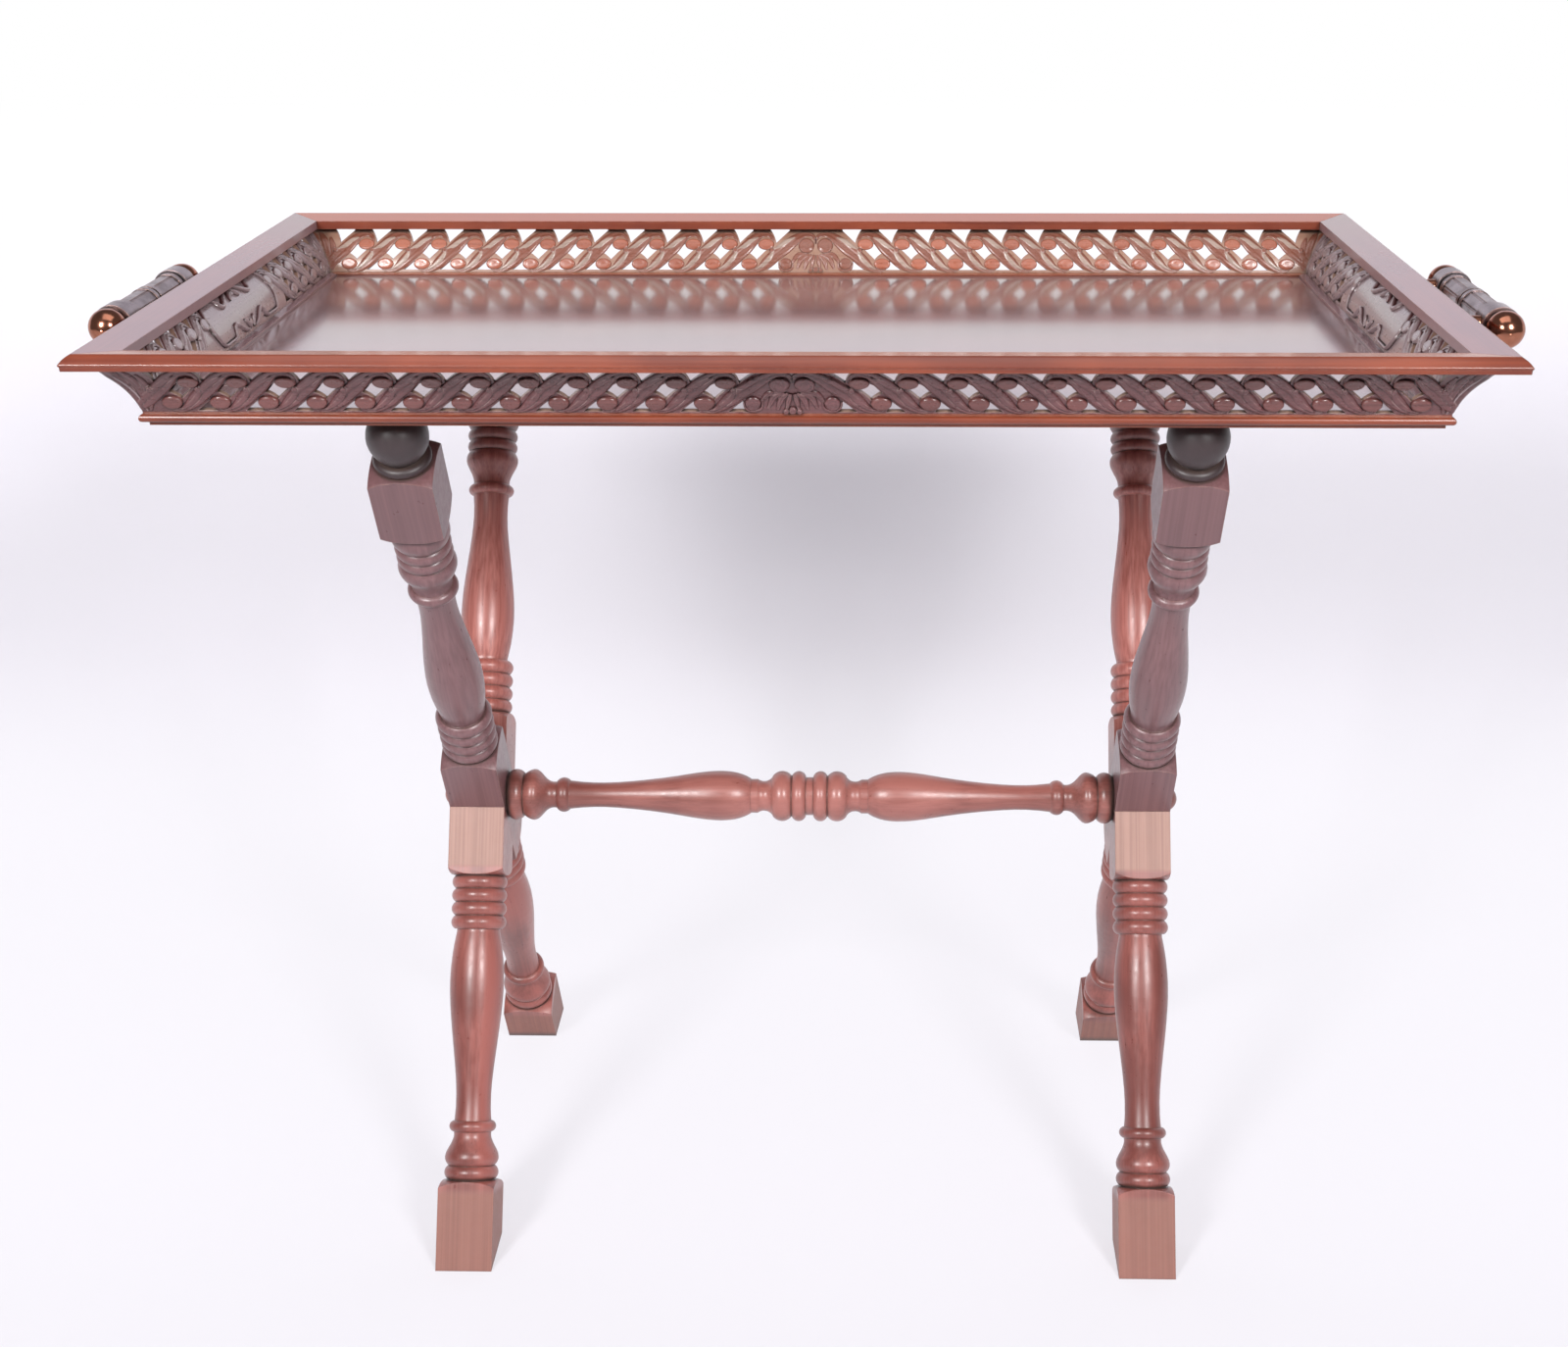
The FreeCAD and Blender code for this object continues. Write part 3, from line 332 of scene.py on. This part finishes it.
def rail_zones(reflection_share):
    """Rails are rubbed on top, to orange at front and back; at the ends the top and the inner face get a
    lilac painted reflection of the backdrop.
    """
    def zones(g, colour, grain, normal, streak, dust_and_painted_light):
        facing = g.add("SeparateXYZ", {0: normal}).outputs
        top = g.ramp(facing["Z"], 0.9, 0.97)
        if reflection_share:
            end = g.math("SIGN", g.add("SeparateXYZ", {0: grain}).outputs["X"])
            inner = g.ramp(g.math("MULTIPLY", facing["X"], end), -0.3, -0.7)
            # painted reflection over the top and the inner face
            share = g.math("MULTIPLY", g.math("MAXIMUM", top, inner), reflection_share)
            colour = g.mix(share, colour, rgba(*RAIL_PAINTED_REFLECTION))
        else:
            colour = g.mix(g.math("MULTIPLY", top, 0.8), colour, rgba(*RAIL_RUBBED))
        return colour, g.math("MULTIPLY", top, -0.17), dust_and_painted_light

    return zones


def wall_zones(inward, board):
    """Carved walls are redder inside the long walls and take a lilac painted reflection inside the end walls,
    with painted shade in the hollows at the ends and a tan painted reflection in the hollows of the long
    walls; the long boards are bare where the saw went, and the cut edges of the boards are partly bare sawn
    wood and partly painted highlight.
    """
    def zones(g, colour, grain, normal, streak, dust_and_painted_light):
        inside = g.ramp(g.dot(normal, inward), -0.1, 0.35)
        if inward[0]:
            # inside an end wall: painted reflection
            inner = grained(g, streak, END_INSIDE_PAINTED_REFLECTION)
            # painted shade in the hollows of an end wall
            hollow = rgba(*END_HOLLOW_PAINTED_SHADE)
        else:
            inner = grained(g, streak, LONG_INSIDE)
            # painted reflection in the hollows of a long wall
            hollow = rgba(*LONG_HOLLOW_PAINTED_REFLECTION)
        colour = g.mix(inside, colour, inner)
        # hollows inside take painted shade at the ends and painted reflection along the long walls
        dust_and_painted_light = g.mix(inside, dust_and_painted_light, hollow)
        if board:
            bare = rgba(*SAWN_WOOD_AND_HIGHLIGHT)
            if inward[1]:
                colour = g.mix(g.math("MULTIPLY", inside, 0.55), colour, bare)
            level = WALL_RISE / WALL_SLANT
            square = (inward[0] * level, inward[1] * level, WALL_DRAW / WALL_SLANT)
            # cut edges of the openings: bare sawn wood with a painted highlight
            edge = g.ramp(g.math("ABSOLUTE", g.dot(normal, square)), 0.55, 0.3)
            colour = g.mix(g.math("MULTIPLY", edge, 0.7), colour, bare)
        return colour, 0.0, dust_and_painted_light

    return zones


def metal(name, colour, tarnish, rough, hollow_share, edge=None):
    """Plated metal, bright on its high places and tarnished in its low ones."""
    g = Graph(name)
    place = g.add("TexCoord").outputs["Object"]
    cloud = g.noise(g.scaled(place, TARNISH_SCALE), 4.0, 0.6)
    fine = g.noise(g.scaled(place, METAL_GRAIN_SCALE), 2.0, 0.5)
    soft = g.add("Bevel", {"Radius": METAL_WORN_RADIUS}, samples=4).outputs[0]
    hidden = g.add("AmbientOcclusion", {"Distance": METAL_GRIME_REACH}, samples=6).outputs["AO"]
    low = g.math("MULTIPLY", g.ramp(hidden, 0.9, 0.4), hollow_share, True)
    spots = g.math("MULTIPLY", g.ramp(cloud, 0.45, 0.7), 0.3)
    tint = g.mix(spots, rgba(*colour), rgba(*tarnish))
    if edge:
        flat = g.dot(g.add("NewGeometry").outputs["Normal"], soft)
        tint = g.mix(g.math("MULTIPLY", g.ramp(flat, 0.992, 0.9), 0.8), tint, rgba(*edge))
    tint = g.mix(low, tint, times(tarnish, 0.5))
    gloss = g.ramp(g.math("ADD", cloud, g.math("MULTIPLY", fine, 0.4)), 0.4, 1.0, rough - 0.05, rough + 0.1)
    bump = g.add("Bump", {"Height": fine, "Strength": METAL_BUMP, "Distance": METAL_BUMP_DEPTH,
                          "Normal": soft}).outputs[0]
    shader = g.add("BsdfPrincipled", {"Base Color": tint, "Roughness": gloss, "Normal": bump,
                                      "Metallic": 1.0})
    return g.surface(shader.outputs[0])


ALONG_X = (0.0, -math.pi / 2, 0.0)
ALONG_Y = (math.pi / 2, 0.0, 0.0)
LEG_FRONT = (LEG_LEAN, 0.0, 0.0)
LEG_BACK = (-LEG_LEAN, 0.0, 0.0)
INWARD = {"front": (0, 1, 0), "back": (0, -1, 0), "left": (1, 0, 0), "right": (-1, 0, 0)}
GRAIN = {"front": ALONG_X, "back": ALONG_X, "left": ALONG_Y, "right": ALONG_Y}

RAIL = dict(dark=(0.125, 0.019, 0.007), light=(0.22, 0.042, 0.015), rough=0.36, coat=0.22, wear_and_highlight=0.5, dirt_and_painted_light=0.7,
            pale=(0.40, 0.19, 0.125), grain_share=0.3, gloss=0.09, relief=0.06, vary=0.3, bend=1.65,
            dust_and_painted_light=(0.075, 0.032, 0.022))
TURNED = dict(dark=(0.155, 0.040, 0.032), light=(0.33, 0.102, 0.084), rough=0.32, coat=0.45, wear_and_highlight=0.5,
              dirt_and_painted_light=0.9, pale=(0.40, 0.20, 0.15), grain_share=0.25, gloss=0.42, reach=8.0, relief=0.18,
              vary=0.9, dust_and_painted_light=(0.075, 0.05, 0.043))
STRETCHER = dict(TURNED, dark=(0.17, 0.050, 0.040), light=(0.36, 0.13, 0.108))
# the carving's pale edge colour is a painted highlight along its edges
CARVED = dict(dark=(0.072, 0.026, 0.027), light=(0.13, 0.048, 0.050), rough=0.29, coat=0.25, wear_and_highlight=0.75,
              dirt_and_painted_light=0.95, pale=(0.45, 0.31, 0.29), reach=5.0, relief=0.12)
CARVED_END = dict(CARVED, coat=0.8, gloss=0.16, bend=1.7)
COIN = dict(CARVED, dark=(0.085, 0.028, 0.026), light=(0.15, 0.050, 0.045))
COIN_INSIDE = dict(CARVED, dark=(0.24, 0.066, 0.036), light=(0.36, 0.112, 0.064), dust_and_painted_light=(0.12, 0.07, 0.055))
RIDGE = dict(CARVED, dark=(0.25, 0.17, 0.135), light=(0.36, 0.26, 0.215), dust_and_painted_light=(0.20, 0.09, 0.06))
BED = dict(dark=(0.105, 0.032, 0.024), light=(0.165, 0.054, 0.041), rough=0.18, coat=1.0, wear_and_highlight=0.2, dirt_and_painted_light=0.5,
           gloss=0.11, relief=0.02, reach=12.0, vary=0.3, bend=3.0, haze=0.1)
MATERIALS = {
    "rail_x": wood("rail_wood_x", ALONG_X, zones=rail_zones(0.0), **RAIL),
    "rail_y": wood("rail_wood_y", ALONG_Y, zones=rail_zones(0.5), **RAIL),
    "bed": wood("polished_bed", ALONG_X, bare_below=True, **BED),
    "leg_front": wood("leg_wood_front", LEG_FRONT, zones=leg_zones(-1), **TURNED),
    "leg_back": wood("leg_wood_back", LEG_BACK, zones=leg_zones(1), **TURNED),
    "ridge": wood("carved_ridge", ALONG_X, **RIDGE),
    "coin": wood("carved_coin", ALONG_X, **COIN),
    "coin_inside": wood("carved_coin_inside", ALONG_X, **COIN_INSIDE),
    "stretcher": wood("stretcher_wood", ALONG_X, **STRETCHER),
    "grip": metal("grip_metal", (0.36, 0.31, 0.325), (0.07, 0.052, 0.052), 0.3, 1.0, (0.5, 0.27, 0.2)),
    "copper": metal("copper_metal", (0.40, 0.16, 0.10), (0.12, 0.05, 0.04), 0.14, 0.8),
    "steel": metal("screw_steel", (0.5, 0.5, 0.5), (0.2, 0.2, 0.2), 0.3, 0.5),
}
for side, inward in INWARD.items():
    look = CARVED_END if inward[0] else CARVED
    for part, board in (("board_", True), ("relief_", False)):
        zones = wall_zones(inward, board)
        MATERIALS[part + side] = wood("carved_" + part + side, GRAIN[side], zones=zones, **look)
PAINT = {"bed_panel": "bed", "stretcher": "stretcher"}
for side, axis in (("front", "x"), ("back", "x"), ("left", "y"), ("right", "y")):
    PAINT["base_rail_" + side] = "rail_" + axis
    PAINT["rim_rail_" + side] = "rail_" + axis
    PAINT["gallery_" + side] = "board_" + side
for end in ("left", "right"):
    PAINT["handle_bar_" + end] = "grip"
    PAINT["handle_caps_" + end] = "copper"
    PAINT["handle_posts_" + end] = "copper"
    PAINT["handle_screws_" + end] = "steel"
    PAINT["screw_plugs_" + end] = "relief_" + end
    PAINT["tenon_button_" + end] = "stretcher"
    PAINT["leg_" + end + "_front_foot"] = "leg_front"
    PAINT["leg_" + end + "_back_foot"] = "leg_back"
for node, paint in PAINT.items():
    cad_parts[node].data.materials.clear()
    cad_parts[node].data.materials.append(MATERIALS[paint])


class Relief:
    """Collects patches in wall coordinates: u along the wall, v up its slope, h out of its face."""

    def __init__(self):
        self.points = []
        self.faces = []
        self.tones = []
        self.count = 0

    def grid(self, u, v, h, closed=False, tone=PLAIN):
        rows, columns = u.shape
        self.points.append(np.stack([u.ravel(), v.ravel(), h.ravel()], 1))
        spans = columns if closed else columns - 1
        for row in range(rows - 1):
            for column in range(spans):
                a = self.count + row * columns + column
                b = self.count + row * columns + (column + 1) % columns
                self.faces.append((a, b, b + columns, a + columns))
                self.tones.append(tone)
        self.count += rows * columns

    def strap(self, line, height, turn=1.0, along=0.0, start=0.0, ropes=0.0, groove=0.0, base=0.0, samples=40,
              tone=PLAIN):
        """Rounded band along a smooth line of (u, v, width), as two ropes or with a groove if asked."""
        line = np.array(line) * MM
        path = smooth(line, np.linspace(start, 1.0, samples))
        ahead = np.gradient(path[:, :2], axis=0)
        ahead /= np.linalg.norm(ahead, axis=1)[:, None] + 1e-12
        across = np.stack([-ahead[:, 1], ahead[:, 0]], 1)
        t = np.sin(np.linspace(-1, 1, 15) * math.pi / 2)
        dome = np.sqrt(np.clip(1 - t ** 2, 0, 1))
        pair = np.sqrt(np.clip(1 - ((np.abs(t) - 0.5) / 0.5) ** 2, 0, 1))
        section = (1 - ropes) * dome + ropes * (0.25 * dome + 0.75 * pair) - groove * np.exp(-(t / 0.16) ** 2)
        width = path[:, 2]
        size = np.clip(width / line[:, 2].max(), 0, 1) ** 0.5
        u = path[:, :1] + across[:, :1] * t[None, :] * width[:, None] / 2
        v = path[:, 1:2] + across[:, 1:2] * t[None, :] * width[:, None] / 2
        h = (height * size)[:, None] * section[None, :] - SINK + base
        self.grid(along + turn * u, v, h, tone=tone)

    def disc(self, u, v, radius, height, turn=1.0, spiral=0.0, stretch=1.0, tone=PLAIN):
        """Flat coin with a rounded edge and, if asked, a spiral cut in its top."""
        share = np.array([0.02, 0.2, 0.36, 0.52, 0.66, 0.78, 0.87, 0.94, 0.98, 1.0])
        rise = np.array([0.96, 0.97, 0.99, 1.0, 1.0, 0.97, 0.88, 0.7, 0.4, -0.2])
        angle = np.linspace(0, 2 * math.pi, 36, endpoint=False)
        r = share[:, None] * radius * np.ones_like(angle)[None, :]
        cut = (share[:, None] - (0.3 + 0.6 * angle[None, :] / (2 * math.pi))) / 0.1
        h = height * (rise[:, None] - spiral * np.exp(-cut ** 2))
        wide = turn * stretch * r * np.cos(angle)[None, :]
        high = r * np.sin(angle)[None, :]
        self.grid(u + wide, v + high, h, closed=True, tone=tone)

    def mesh(self, name, half_depth, angle, inner, inner_share):
        """The collected patches laid on one face of one wall."""
        u, v, h = np.concatenate(self.points).T
        share = np.clip(v / WALL_SLANT, 0, 1)
        through = 4 * WALL_HOLLOW * share * (1 - share)
        if inner:
            through = through + WALL_THICKNESS * WALL_RISE / WALL_SLANT
        v = v - PIERCING_SLOPE * through
        share = np.clip(v / WALL_SLANT, 0, 1)
        hollow = 4 * WALL_HOLLOW * share * (1 - share)
        depth = hollow + inner_share * h if inner else hollow - h
        y = WALL_FOOT_INSET - half_depth - v * WALL_DRAW / WALL_SLANT + depth * WALL_RISE / WALL_SLANT
        z = WALL_LEVEL + v * WALL_RISE / WALL_SLANT + depth * WALL_DRAW / WALL_SLANT
        if inner:
            y = y + WALL_THICKNESS
        x, y = u * math.cos(angle) - y * math.sin(angle), u * math.sin(angle) + y * math.cos(angle)
        mesh = bpy.data.meshes.new(name)
        mesh.from_pydata(np.stack([x, y, z], 1).tolist(), [], self.faces)
        mesh.polygons.foreach_set("use_smooth", [True] * len(mesh.polygons))
        mesh.polygons.foreach_set("material_index", self.tones)
        mesh.update()
        return mesh


def smooth(line, s):
    """Points at shares s of a Catmull-Rom curve through the rows of a table."""
    count = len(line) - 1
    place = np.clip(s, 0, 1) * count
    i = np.minimum(place.astype(int), count - 1)
    t = (place - i)[:, None]
    padded = np.vstack([2 * line[0] - line[1], line, 2 * line[-1] - line[-2]])
    a, b, c, d = padded[i], padded[i + 1], padded[i + 2], padded[i + 3]
    square = 2 * a - 5 * b + 4 * c - d
    cube = 3 * b - a - 3 * c + d
    return 0.5 * (2 * b + (c - a) * t + square * t ** 2 + cube * t ** 3)


def coin(relief, u, v, turn):
    """The rolled end of a scroll."""
    relief.disc(u, v, DISC_RADIUS, DISC_HEIGHT, turn, DISC_SPIRAL, DISC_STRETCH, COIN_END)


def scrolls(relief, length, eyes, pull):
    """The running scroll from both corners towards the middle; the last strap is pulled to the centre."""
    last = length / 2 - WALL_FOOT_INSET + WALL_DRAW / 2 - CORNER_TO_EYE
    for turn in (1.0, -1.0):
        for number in range(eyes + 1):
            eye = -turn * (last - (number - 1) * SCROLL_PITCH)
            start = CORNER_STRAP_START if number == 0 else 0.0
            line = STRAP_LINE
            if number == eyes:
                line = [(u + pull * min(1.0, max(0.0, (u - 12) / 16)), v, w) for u, v, w in STRAP_LINE]
            relief.strap(line, STRAP_HEIGHT, turn, eye, start, ropes=0.8, samples=56)
            for strand in STRAND_LINES[1:] if number == 0 else STRAND_LINES:
                relief.strap(strand, STRAND_HEIGHT, turn, eye, base=STRAND_BASE, samples=20, tone=STRAND)
            relief.disc(eye + turn * CURL[0] * MM, CURL[1] * MM, CURL[2] * MM, CURL_HEIGHT, turn)
            if number:
                coin(relief, eye + turn * LOWER_DISC[0], LOWER_DISC[1], turn)
            if number < eyes or not pull:
                coin(relief, eye + turn * (UPPER_DISC[0] + SCROLL_PITCH), UPPER_DISC[1], turn)


def corner_leaves(relief, half_length):
    """Leaf lobes that spread from the foot of each mitre."""
    for turn in (1.0, -1.0):
        foot = -turn * (half_length - WALL_FOOT_INSET)
        for lobe in CORNER_LOBES:
            relief.strap(lobe, LEAF_HEIGHT, turn, foot, groove=LEAF_GROOVE, samples=24)


def centre_motif(relief):
    """Two volutes over a leaf fan in the middle of a long wall."""
    for turn in (1.0, -1.0):
        for lobe in FAN_LOBES:
            relief.strap(lobe, FAN_HEIGHT, turn, groove=LEAF_GROOVE, samples=20)
        u, v, radius = CENTRE_VOLUTE
        relief.disc(turn * u * MM, v * MM, radius * MM, VOLUTE_HEIGHT, -turn, 0.35)
        u, v, radius = CENTRE_LOWER
        relief.disc(turn * u * MM, v * MM, radius * MM, LOWER_VOLUTE_HEIGHT, -turn, 0.2)
        hook = ((u + 5.6, v + 1.0, 1.0), (u + 4.2, v - 3.6, 2.2), (u, v - 5.6, 2.6), (u - 4.8, v - 3.4, 2.0),
                (u - 5.6, v + 2.6, 1.0))
        relief.strap(hook, HOOK_HEIGHT, turn, samples=24)
    for u, v, radius in CENTRE_BEADS:
        relief.disc(u * MM, v * MM, radius * MM, BEAD_HEIGHT)


def plaque_line(relief):
    """Ribbon around an end plaque, waved at top and foot, with leaves and a bead in the middle."""
    for flip in (False, True):
        for turn in (1.0, -1.0):
            for form, samples in ((PLAQUE_LINE, 110), (PLAQUE_LEAF, 24)):
                line = [(u, PLAQUE_FOOT - drop if flip else PLAQUE_TOP + drop, w) for u, drop, w in form]
                relief.strap(line, RIBBON_HEIGHT, turn, base=PLAQUE_RAISE, samples=samples)
        u, drop, radius = PLAQUE_BEAD
        v = PLAQUE_FOOT - drop if flip else PLAQUE_TOP + drop
        relief.disc(u * MM, v * MM, radius * MM, RIBBON_HEIGHT)


def carved_wall(side, half_length, half_depth, angle, eyes):
    """Both carved faces of one gallery wall."""
    is_long = side in ("front", "back")
    relief = Relief()
    scrolls(relief, 2 * half_length, eyes, CENTRE_PULL if is_long else 0.0)
    corner_leaves(relief, half_length)
    if is_long:
        centre_motif(relief)
    else:
        plaque_line(relief)
    for inner in (False, True):
        face = "inside" if inner else "outside"
        mesh = relief.mesh("carving_" + side + "_" + face, half_depth, angle, inner, INNER_SHARE[is_long])
        carving = bpy.data.objects.new(mesh.name, mesh)
        bpy.context.scene.collection.objects.link(carving)
        plain = "relief_" + side
        tones = (plain, plain, plain)
        if is_long:
            tones = (plain, "ridge", "coin_inside") if inner else (plain, plain, "coin")
        for tone in tones:
            mesh.materials.append(MATERIALS[tone])
        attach(carving, "tray")


HALF_LENGTH = TRAY_LENGTH / 2
HALF_WIDTH = TRAY_WIDTH / 2
carved_wall("front", HALF_LENGTH, HALF_WIDTH, 0.0, LONG_EYES)
carved_wall("back", HALF_LENGTH, HALF_WIDTH, math.pi, LONG_EYES)
carved_wall("left", HALF_WIDTH, HALF_LENGTH, -math.pi / 2, SHORT_EYES)
carved_wall("right", HALF_WIDTH, HALF_LENGTH, math.pi / 2, SHORT_EYES)


# Floor and backdrop in one sweep
PAPER_CURVE_START = 0.4
PAPER_CURVE = 0.45
PAPER_TOP = 1.3
PAPER_FRONT = -3.5
PAPER_HALF_WIDTH = 5.0
# paper painted darker near the front, a painted shade against the nearer lamps
PAPER_NEAR_PAINTED_SHADE = (0.67, 0.655, 0.695)
PAPER_FAR = (0.82, 0.80, 0.85)


def sweep():
    """Pale paper sweep of floor, curve and wall, clear from behind so that it never hides the table."""
    profile = [(PAPER_FRONT, 0.0), (PAPER_CURVE_START, 0.0)]
    for step in range(1, 25):
        turn = math.pi / 2 * step / 24
        away, up = PAPER_CURVE * math.sin(turn), PAPER_CURVE * (1.0 - math.cos(turn))
        profile.append((PAPER_CURVE_START + away, up))
    profile.append((PAPER_CURVE_START + PAPER_CURVE, PAPER_TOP))
    points = [(x, y, z) for x in (-PAPER_HALF_WIDTH, PAPER_HALF_WIDTH) for y, z in profile]
    count = len(profile)
    faces = [(i, count + i, count + i + 1, i + 1) for i in range(count - 1)]
    mesh = bpy.data.meshes.new("paper_sweep")
    mesh.from_pydata(points, [], faces)
    mesh.polygons.foreach_set("use_smooth", [True] * len(mesh.polygons))
    paper = bpy.data.objects.new("paper_sweep", mesh)
    bpy.context.scene.collection.objects.link(paper)
    g = Graph("paper")
    ray = g.add("LightPath").outputs
    seen = g.math("MAXIMUM", g.math("MAXIMUM", ray["Is Camera Ray"], ray["Is Glossy Ray"]),
                  ray["Is Transmission Ray"])
    place = g.add("SeparateXYZ", {0: g.add("TexCoord").outputs["Object"]}).outputs
    height, back = place["Z"], place["Y"]
    # painted shade: the paper is darker towards the front
    paper_colour = g.mix(g.ramp(back, -0.35, 0.05), rgba(*PAPER_NEAR_PAINTED_SHADE), rgba(*PAPER_FAR))
    matt = g.add("BsdfDiffuse", {"Color": paper_colour}).outputs[0]
    tint = g.mix(g.ramp(height, 0.2, 0.7), rgba(0.97, 0.95, 1.0), rgba(1.0, 1.0, 1.0))
    tint = g.mix(g.ramp(height, 0.8, 0.86), tint, rgba(0.95, 0.90, 1.0))
    # a dim patch high up, which only the polish reflects
    middle = g.ramp(g.math("ABSOLUTE", place["X"]), 0.5, 0.75, 1.0, 0.0)
    middle = g.math("MULTIPLY", middle, g.math("SUBTRACT", 1.0, ray["Is Camera Ray"]))
    tint = g.mix(g.math("MULTIPLY", g.ramp(height, 1.03, 1.12), middle), tint, rgba(0.3, 0.27, 0.3))
    glow = g.add("Emission", {"Color": tint, "Strength": 1.0}).outputs[0]
    low = g.math("MULTIPLY", g.ramp(back, -0.8, 0.3, 0.25, 0.85), g.ramp(height, 0.0, 0.16, 1.0, 0.12))
    lift = g.math("ADD", low, g.ramp(height, 0.36, 0.75, 0.0, 0.95))
    # white where the photo's view doesn't reach: far to the sides and far in front
    aside = g.ramp(g.math("ABSOLUTE", place["X"]), 1.0, 1.5, 0.0, 0.9)
    aside = g.math("MAXIMUM", aside, g.ramp(back, -0.9, -1.6, 0.0, 0.9))
    lift = g.math("MAXIMUM", lift, aside)
    lifted = g.add("MixShader", {0: lift, 1: matt, 2: glow}).outputs[0]
    shader = g.add("MixShader", {0: seen, 1: matt, 2: lifted}).outputs[0]
    behind = g.add("NewGeometry").outputs["Backfacing"]
    shader = g.add("MixShader", {0: behind, 1: shader, 2: g.add("BsdfTransparent").outputs[0]}).outputs[0]
    mesh.materials.append(g.surface(shader))


def softbox(name, azimuth, elevation, distance, width, height, power):
    """Oblong lamp that faces the table's middle; azimuth 0 is in front, to the right positive."""
    data = bpy.data.lights.new(name, "AREA")
    data.shape = "RECTANGLE"
    data.size = width
    data.size_y = height
    data.energy = power
    lamp = bpy.data.objects.new(name, data)
    bpy.context.scene.collection.objects.link(lamp)
    a, e = math.radians(azimuth), math.radians(elevation)
    away = Vector((math.sin(a) * math.cos(e), -math.cos(a) * math.cos(e), math.sin(e)))
    lamp.location = LAMP_TARGET + away * distance
    lamp.rotation_mode = "QUATERNION"
    lamp.rotation_quaternion = (-away).to_track_quat("-Z", "Y")


sweep()
LAMP_TARGET = Vector((0, 0, 0.4))
# name, azimuth and elevation in degrees, distance, width and height in metres, power in watts
LAMPS = (("softbox_left", -30, 30, 2.6, 0.5, 0.7, 52), ("softbox_right", 29, 30, 2.6, 0.5, 0.7, 48),
         ("softbox_top", 0, 80, 2.2, 1.8, 1.4, 14))
for lamp in LAMPS:
    softbox(*lamp)

# World: white to the camera, weak as a light
WORLD_LIGHT = 0.2
WORLD_SEEN = 1.0
WORLD_COLOUR = (0.97, 0.955, 1.0)
world = bpy.data.worlds.new("studio")
bpy.context.scene.world = world
world.use_nodes = True
tree = world.node_tree
tree.nodes.clear()
path = tree.nodes.new("ShaderNodeLightPath")
both = tree.nodes.new("ShaderNodeMath")
both.operation = "MAXIMUM"
tree.links.new(path.outputs["Is Camera Ray"], both.inputs[0])
tree.links.new(path.outputs["Is Transmission Ray"], both.inputs[1])
level = tree.nodes.new("ShaderNodeMapRange")
level.inputs["To Min"].default_value = WORLD_LIGHT
level.inputs["To Max"].default_value = WORLD_SEEN
tree.links.new(both.outputs[0], level.inputs["Value"])
sky = tree.nodes.new("ShaderNodeBackground")
sky.inputs["Color"].default_value = rgba(*WORLD_COLOUR)
tree.links.new(level.outputs[0], sky.inputs["Strength"])
ground = tree.nodes.new("ShaderNodeOutputWorld")
tree.links.new(sky.outputs[0], ground.inputs["Surface"])

# Camera fitted to the photograph: place, turn, focal length in pixels and principal point
IMAGE_WIDTH, IMAGE_HEIGHT = 1600, 1374
FOCAL = 2159.4
PRINCIPAL = (850.0, 695.0)
SENSOR = 36.0
CAMERA_PLACE = (0.0513, -1.4214, 0.9426)
YAW, PITCH, ROLL = math.radians(-1.290), math.radians(21.587), math.radians(0.180)
camera_data = bpy.data.cameras.new("camera")
camera_data.sensor_fit = "HORIZONTAL"
camera_data.sensor_width = SENSOR
camera_data.lens = FOCAL / IMAGE_WIDTH * SENSOR
camera_data.shift_x = (IMAGE_WIDTH / 2 - PRINCIPAL[0]) / IMAGE_WIDTH
camera_data.shift_y = (PRINCIPAL[1] - IMAGE_HEIGHT / 2) / IMAGE_WIDTH
camera = bpy.data.objects.new("camera", camera_data)
bpy.context.scene.collection.objects.link(camera)
camera.location = CAMERA_PLACE
camera.rotation_euler = (math.pi / 2 - PITCH, ROLL, -YAW)
bpy.context.scene.camera = camera
bpy.context.scene.view_settings.view_transform = "Standard"
